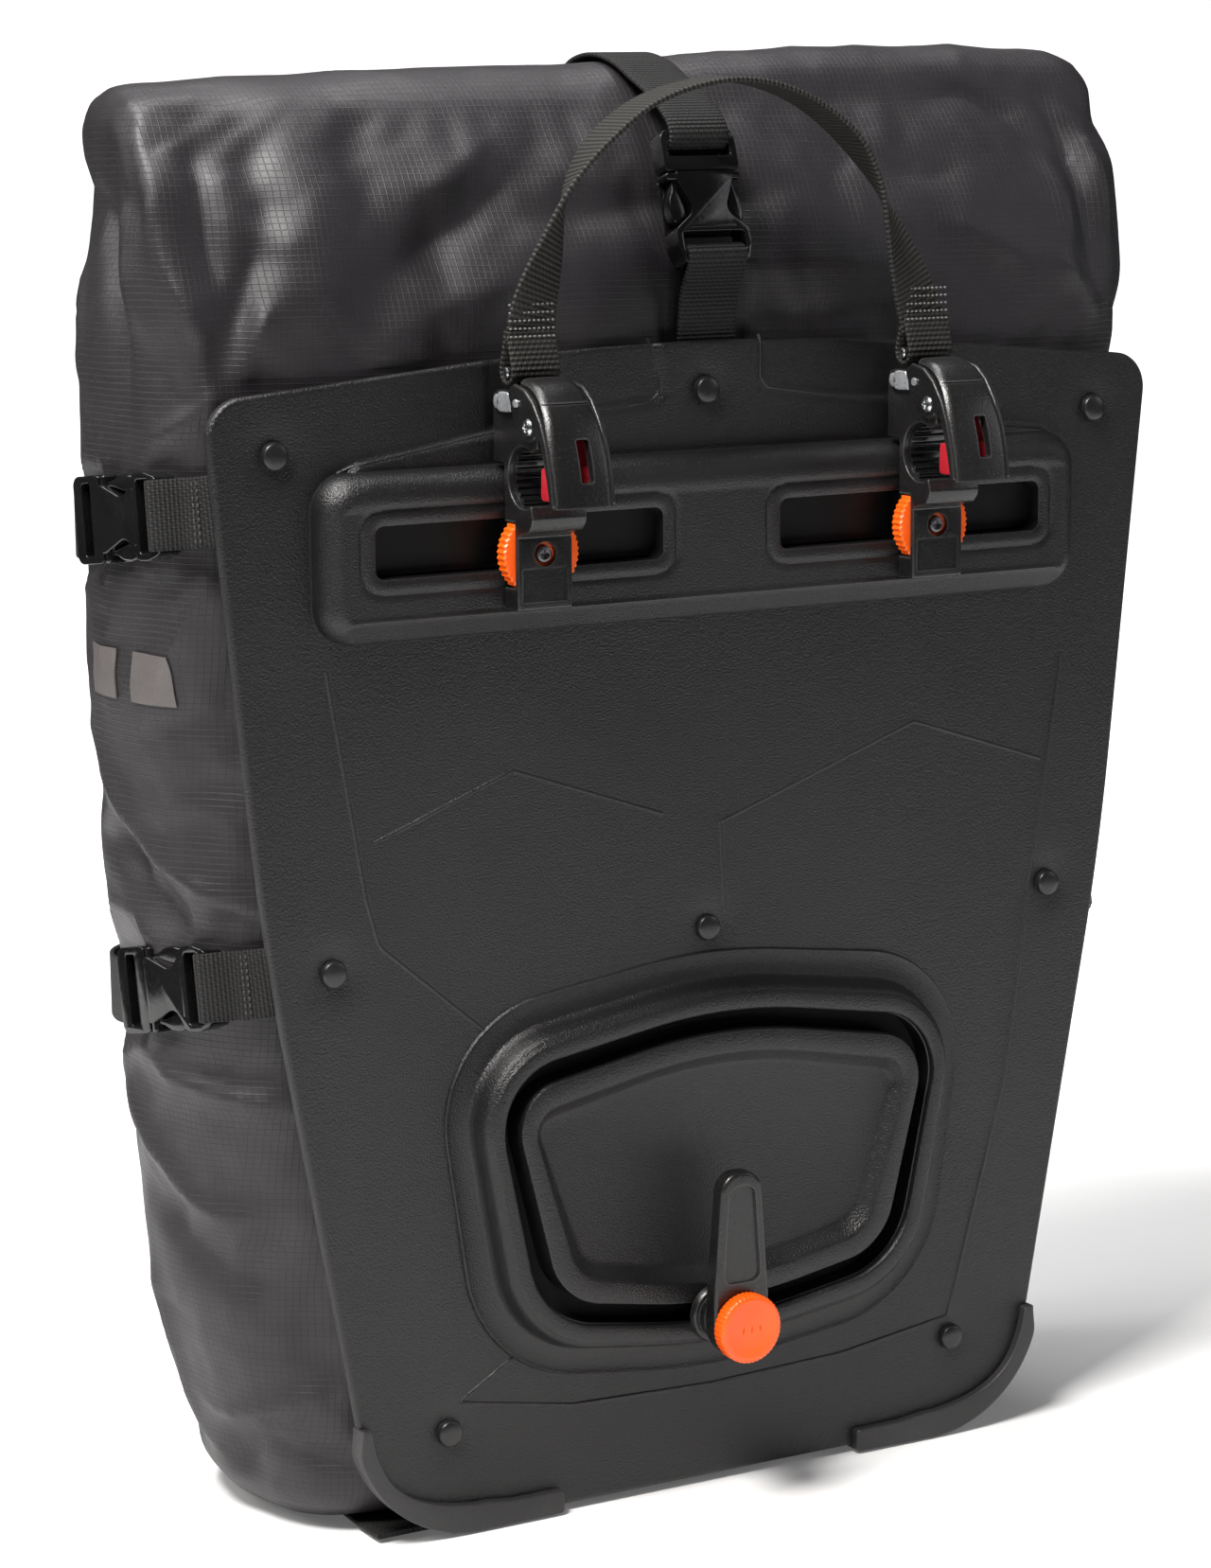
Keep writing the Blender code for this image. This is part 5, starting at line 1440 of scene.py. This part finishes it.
def stitches(name, spots, radius=0.00045):
    """Short proud threads: spots are pairs of end points."""
    work = bmesh.new()
    for a, b in spots:
        a, b = Vector(a), Vector(b)
        turn = (b - a).to_track_quat('Z', 'Y').to_matrix().to_4x4()
        turn.translation = (a + b) / 2
        shape = turn @ Matrix.Diagonal((radius, radius, (b - a).length / 2, 1.0))
        bmesh.ops.create_uvsphere(work, u_segments=6, v_segments=5, radius=1.0, matrix=shape)
    return to_object(name, work, 80.0)


HANDLE_ARCH = mm([(-80.5, 215.8), (-80.4, 220), (-78.8, 233), (-72.2, 252.5), (-64, 275), (-50.5, 292.5),
                  (-29, 306.2), (0, 312.2), (26, 307.8), (48.5, 295), (64, 277), (74.5, 254.5),
                  (82.2, 235), (87.3, 220), (87.5, 215.8)])


def handle_loop(name, x):
    """The end of the handle's webbing: two plies from the stitching down and round the latch's pin."""
    y_pin, z_pin = HANDLE_PIN
    ring, rise = 0.0044, 0.0006
    path = [(x, y_pin - 0.0010, z_pin + 0.0145), (x, y_pin - 0.0014, z_pin + 0.0115)]
    path += [(x, y_pin + ring * math.cos(math.radians(a)), z_pin + rise + ring * math.sin(math.radians(a)))
             for a in range(160, 381, 20)]
    path += [(x, y_pin + 0.0014, z_pin + 0.0115), (x, y_pin + 0.0010, z_pin + 0.0145)]
    return ribbon("handle_loop_" + name, smooth_path(path, 4), (1, 0, 0), 0.0196, 0.0016, 0.0012)


def carry_handle():
    """Webbing arch: flat to the plate at its ends, turned edge-on over the hand."""
    y = HANDLE_PIN[0]
    path, _ = even_path(smooth_path([(u, y, v) for u, v in HANDLE_ARCH], 8), 0.0028)
    steps = len(path) - 1
    sides = []
    for k in range(steps + 1):
        ahead = path[min(k + 1, steps)] - path[max(k - 1, 0)]
        inward = Vector((0, 1, 0)).cross(ahead.normalized())
        share = min(1.0, min(k, steps - k) / (0.32 * steps))
        turn = math.pi / 2 * (3 * share ** 2 - 2 * share ** 3)
        away = 1 if k <= steps / 2 else -1
        sides.append(inward * away * math.cos(turn) + Vector((0, 1, 0)) * math.sin(turn))
    arch = ribbon("handle_webbing", path[2:-2], sides[2:-2], 0.0200, 0.0020)
    register(arch, "handle", "handle", "webbing", "carry_handle")
    spots = []
    for name in ("left", "right"):
        centre = local_centre("hook_body_" + name).x
        register(handle_loop(name, centre), "handle", "handle", "webbing")
        for row in range(5):
            z = HANDLE_PIN[1] + 0.0125 + 0.0028 * row
            for k in range(10):
                u = centre - 0.0085 + 0.0019 * k
                spots.append(((u - 0.0006, y - 0.0021 + 0.00025 * row, z),
                              (u + 0.0006, y - 0.0021 + 0.00025 * row, z)))
    register(stitches("handle_stitches", spots), "thread", "handle", "webbing")


# ------------------------------------------------------------------------------------------ lower hook
def lower_hook():
    """The hook on the track: shoe, stem with a flange, arm with a recessed front, orange knob."""
    axis = local_centre("arm_knob")
    x, z = axis.x, axis.z
    shoe_low, shoe_high = local_box("arm_shoe")
    register(block("shoe_form", shoe_low, shoe_high, 0.0010), "hook", "arm_base", "hook_plastic", "arm_shoe")
    flange = -TRACK_DEPTH - 0.0003
    stem = turned("stem_form", "y", (x, 0, z),
                  [(-0.0247, 0.0074), (-0.0243, 0.0079), (-0.0205, 0.0080), (-0.0200, 0.0092),
                   (-0.0172, 0.0094), (flange - 0.0032, 0.0094), (flange - 0.0030, 0.0106),
                   (flange - 0.0022, 0.0113), (flange - 0.0004, 0.0116), (flange, 0.0114)], 56)
    register(stem, "hook", "arm_base", "hook_plastic", "arm_stem")
    front, back = -0.0325, -0.0250
    corners = [(x - 0.0122, z - 0.0122, 0.0116), (x + 0.0122, z - 0.0122, 0.0116),
               (x + 0.0118, z + 0.0120, 0.020), (x + 0.0083, z + 0.0590, 0.0078),
               (x - 0.0083, z + 0.0590, 0.0078), (x - 0.0118, z + 0.0120, 0.020)]
    arm = facing("arm_form", [fillet(corners, 12)], front, back, 0.0016, 5)
    dip = facing("dip", [fillet([(x - 0.0080, z + 0.0165, 0.0035), (x + 0.0080, z + 0.0165, 0.0035),
                                 (x + 0.0054, z + 0.0540, 0.0048), (x - 0.0054, z + 0.0540, 0.0048)], 8)],
                 front - 0.0050, front + 0.0011)
    cut(arm, dip)
    crisp(arm, 40)
    register(arm, "hook", "arm", "hook_plastic", "lower_arm")
    knob_front = front - 0.0068
    knob = turned("knob_form", "y", (x, 0, z),
                  [(knob_front + 0.0003, 0.0006), (knob_front + 0.0003, 0.0096), (knob_front, 0.0104),
                   (knob_front, 0.0120), (knob_front + 0.0004, 0.0128), (knob_front + 0.0012, 0.0132),
                   (front - 0.0012, 0.0132), (front - 0.0006, 0.0128), (front - 0.0003, 0.0118)],
                  TEETH * 5, knurl(TEETH, 0.0125, 0.022))
    marks = [facing("mark", [rounded_box(x + u - 0.0006, z - 0.0012, x + u + 0.0006, z + 0.0012, 0.0005, 3)],
                    knob_front - 0.0010, knob_front + 0.0008) for u in (-0.0036, 0.0, 0.0036)]
    cut(knob, *marks)
    crisp(knob, 40)
    register(knob, "orange", "knob", "orange_plastic", "arm_knob")


# ------------------------------------------------------------------------------------------ buckles, straps
def buckle_slab(outline, low, high, frame, bevel, holes=()):
    """A slab in a buckle's frame: the outline is (across, along), low and high are its thickness."""
    turn = Matrix(((1, 0, 0, 0), (0, 0, 1, (low + high) / 2), (0, 1, 0, 0), (0, 0, 0, 1)))
    return filled("piece", [outline] + list(holes), high - low, frame @ turn, bevel)


def symmetric(half):
    """Closed outline from its right half, (across, along, radius) from bottom to top."""
    return fillet(list(half) + [(-u, v, r) for u, v, r in reversed(half)], 7)


def buckle(name, frame, body, plug_body):
    """A closed side-release buckle: a waisted socket with open sides, and a plug whose prongs show there."""
    window = rounded_box(-0.0130, 0.0012, 0.0130, 0.0088, 0.0012, 4)
    core = buckle_slab(symmetric(mm([(13.5, -3, 3), (15.6, 4, 8), (15.4, 10, 3), (6.6, 16.5, 4.5),
                                     (11.8, 28.5, 6), (12.4, 31.3, 1)])),
                       -0.0046, 0.0050, frame, 0.0013, [window])
    bridge = buckle_slab(symmetric([(0.0156, 0.0284, 0.0012), (0.0158, 0.0313, 0.0012)]), -0.0042, 0.0040,
                         frame, 0.0009)
    spine = buckle_slab(symmetric([(0.0156, 0.0085, 0.0015), (0.0158, 0.0300, 0.0015)]), -0.0046, -0.0031,
                        frame, 0.0005)
    rib = buckle_slab(rounded_box(-0.0100, 0.0102, 0.0100, 0.0112, 0.0004, 3), 0.0045, 0.0053, frame, 0.0002)
    socket = join(name + "_socket_form", [core, bridge, spine, rib])
    crisp(socket, 40)
    register(socket, "buckle", body, "buckle_plastic", name + "_socket")
    slot = rounded_box(-0.0131, 0.0372, 0.0131, 0.0424, 0.0012, 4)
    frame_end = buckle_slab(symmetric(mm([(15.2, 31.8, 1.2), (15.7, 34, 3), (15.7, 47.2, 3.5)])),
                            -0.0040, 0.0040, frame, 0.0014, [slot])
    prongs = []
    for side in (-1, 1):
        blade = mm([(10.8, 33), (10.8, 25), (9.2, 18.5), (8.8, 15), (10.4, 12.8), (12.8, 12),
                    (14.8, 13.5), (15.5, 17), (15, 21.5), (13.4, 25), (12.8, 29), (12.8, 33)])
        blade = [(side * u, v) for u, v in blade]
        prongs.append(buckle_slab(blade, -0.0026, 0.0028, frame, 0.0007))
    plug = join(name + "_plug_form", [frame_end] + prongs)
    crisp(plug, 40)
    register(plug, "buckle", plug_body, "buckle_plastic", name + "_plug")


def ramped(path, first, last, turn_from, turn_to):
    """Across directions that change from first to last between two shares of the run."""
    count = len(path) - 1
    return [first.lerp(last, float(smoothstep((k / count - turn_from) / (turn_to - turn_from))))
            for k in range(count + 1)]


def side_straps():
    """For each level: the short straps, the buckles, and the band round the outer face."""
    for level in ("upper", "lower"):
        for side, name in ((-1, "left"), (1, "right")):
            frame, along, out, across, edge = side_frame(side, level, name)
            plug_body = "%s_%s_plug" % (level, name)
            buckle("%s_%s_buckle" % (level, name), frame, "bag", plug_body)
            base = edge + along * BUCKLE_START + out * BUCKLE_OUT
            inside = [Vector((side * (SIDE_STRAP_X[level, name] - inset), 0.0056, SIDE_STRAP_Z[level] + rise))
                      for inset, rise in ((0.0320, 0.0026), (0.0220, 0.0022), (0.0130, 0.0018))]
            path = inside + [edge + Vector((-side * 0.0030, -0.0025, 0.0008)),
                             edge + out * 0.0022 + along * 0.0050, edge + out * 0.0046 + along * 0.0110,
                             base + along * -0.0035 + out * 0.0035, base + along * 0.0002 + out * 0.0056,
                             base + along * 0.0034 + out * 0.0036, base + along * 0.0048 - out * 0.0010,
                             base + along * 0.0050 - out * 0.0040]
            run = smooth_path(path, 8)
            upright = Vector((0, 0, math.copysign(1.0, across.z)))
            sides = ramped(run, upright, across, 0.15, 0.45)
            strap = ribbon("%s_%s_webbing" % (level, name), run, sides, WEB)
            register(strap, "webbing", "bag", "webbing", "%s_%s_strap" % (level, name))
            spots = []
            for column in range(3):
                base_spot = edge + along * (0.0040 + 0.0022 * column) + out * (0.0031 + 0.0004 * column)
                for k in range(9):
                    here = base_spot + across * (-0.0100 + 0.0025 * k)
                    spots.append((here - across * 0.0007, here + across * 0.0007))
            threads = stitches("%s_%s_stitches" % (level, name), spots, 0.0004)
            register(threads, "dark_thread", "bag", "webbing")
            run = band_run(level, side)
            piece = ribbon("%s_band_%s" % (level, name), run, ramped(run, across, upright, 0.3, 0.7), WEB)
            register(piece, "webbing", None, "webbing", level + "_band")
            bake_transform(piece)
        height = band_run(level, 1)[-1].z
        path = [Vector((x, BAND_BACK + 0.0008 * math.cos(x * 70), height))
                for x in np.linspace(-0.1602, 0.1602, 40)]
        piece = ribbon(level + "_band_back", path, (0, 0, 1), WEB)
        register(piece, "webbing", "bag", "webbing", level + "_band")


def top_strap():
    """The closing strap: from behind the plate, through its buckle and over the roll."""
    tilt = math.atan2(0.0150, 0.0480)
    along = Vector((0, math.sin(tilt), math.cos(tilt)))
    out = Vector((0, -math.cos(tilt), math.sin(tilt)))
    x = CLOSING_X
    base = Vector((x, 0.0020, 0.2480))
    buckle("top_buckle", buckle_frame(Vector((-1, 0, 0)), out, along, base), "bag", "top_plug")
    low = [(x, 0.0056, 0.1960), (x, 0.0056, 0.2140), (x, 0.0050, 0.2250), base + Vector((0, 0.0010, -0.0120)),
           base + along * -0.0040 + out * 0.0030, base + along * 0.0002 + out * 0.0056,
           base + along * 0.0034 + out * 0.0036, base + along * 0.0048 - out * 0.0010,
           base + along * 0.0050 - out * 0.0040]
    strap = ribbon("top_webbing_low", smooth_path(low, 8), (1, 0, 0), WEB)
    register(strap, "webbing", "bag", "webbing", "top_strap_lower")
    end = base + along * 0.0400
    over = [end - out * 0.0035, end + along * 0.0012 + out * 0.0020, end + along * 0.0040 + out * 0.0052,
            end + along * 0.0085 + out * 0.0050, end + along * 0.0140 + out * 0.0020, (x, 0.0270, 0.3070),
            (x, 0.0400, 0.3128), (x, 0.0530, 0.3184), (x, 0.0690, 0.3212), (x, 0.0850, 0.3187),
            (x, 0.0955, 0.3105), (x, 0.1040, 0.2960), (x, 0.1135, 0.2720), (x, 0.1250, 0.2420),
            (x, 0.1320, 0.2100), (x, 0.1335, 0.1850)]
    run = smooth_path(over, 8)
    split = 8 * 7
    first = ribbon("top_webbing_front", run[:split + 1], (1, 0, 0), WEB)
    register(first, "webbing", None, "webbing", "top_strap_over")
    Vector(over[3]) + ORIGIN
    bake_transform(first)
    second = ribbon("top_webbing_back", run[split:], (1, 0, 0), WEB)
    register(second, "webbing", "bag", "webbing", "top_strap_over")


def wall_patch(bag, side, corners):
    """A film that lies on the bag's side wall: a four-cornered (y, z) patch pressed onto the fabric."""
    proud, thick, steps = 0.0005, 0.0006, 14
    work = bmesh.new()
    a, b, c, d = (Vector(p) for p in corners)
    grid = []
    for j in range(steps + 1):
        row = []
        for i in range(steps + 1):
            low, high = a.lerp(b, i / steps), d.lerp(c, i / steps)
            u, v = low.lerp(high, j / steps)
            start = Vector((side * 0.30, u, v)) + ORIGIN
            _, spot, normal, _ = bag.ray_cast(start, Vector((-side, 0.0, 0.0)))
            row.append(work.verts.new(spot - ORIGIN + normal * proud))
        grid.append(row)
    for j in range(steps):
        for i in range(steps):
            work.faces.new((grid[j][i], grid[j][i + 1], grid[j + 1][i + 1], grid[j + 1][i]))
    patch = to_object("patch", work)
    solid = patch.modifiers.new("thickness", 'SOLIDIFY')
    solid.thickness = thick
    solid.offset = 0.0
    return apply_modifiers(patch)


def reflectors(bag):
    """Two plain rectangles of reflective film on each side wall."""
    shapes = [mm([(82, 95), (62, 95), (62, 113), (82, 113)]),
              mm([(52, 95), (32, 95), (32, 113), (52, 113)])]
    for side, name in ((-1, "left"), (1, "right")):
        whole = join("reflector_film_" + name, [wall_patch(bag, side, corners) for corners in shapes])
        register(whole, "reflective", "bag", "reflective", "reflector_" + name)


def bottom_tab():
    """A webbing tab under the bag."""
    low, high = local_box("bottom_tab")
    middle = (low + high) / 2
    path = [Vector((middle.x, y, z)) for y, z in (
        (high.y + 0.020, low.z + 0.0022), (high.y, low.z + 0.0014), (low.y + 0.004, low.z + 0.0011),
        (low.y - 0.001, low.z + 0.0018))]
    tab = ribbon("tab_webbing", smooth_path(path, 6), (1, 0, 0), high.x - low.x)
    register(tab, "webbing", "bag", "webbing", "bottom_tab")


set_camera()
studio()
bag = bag_fabric()
back_plate()
lower_track()
rivets()
corner_guards()
rail_hooks()
carry_handle()
lower_hook()
side_straps()
top_strap()
reflectors(bag)
bottom_tab()
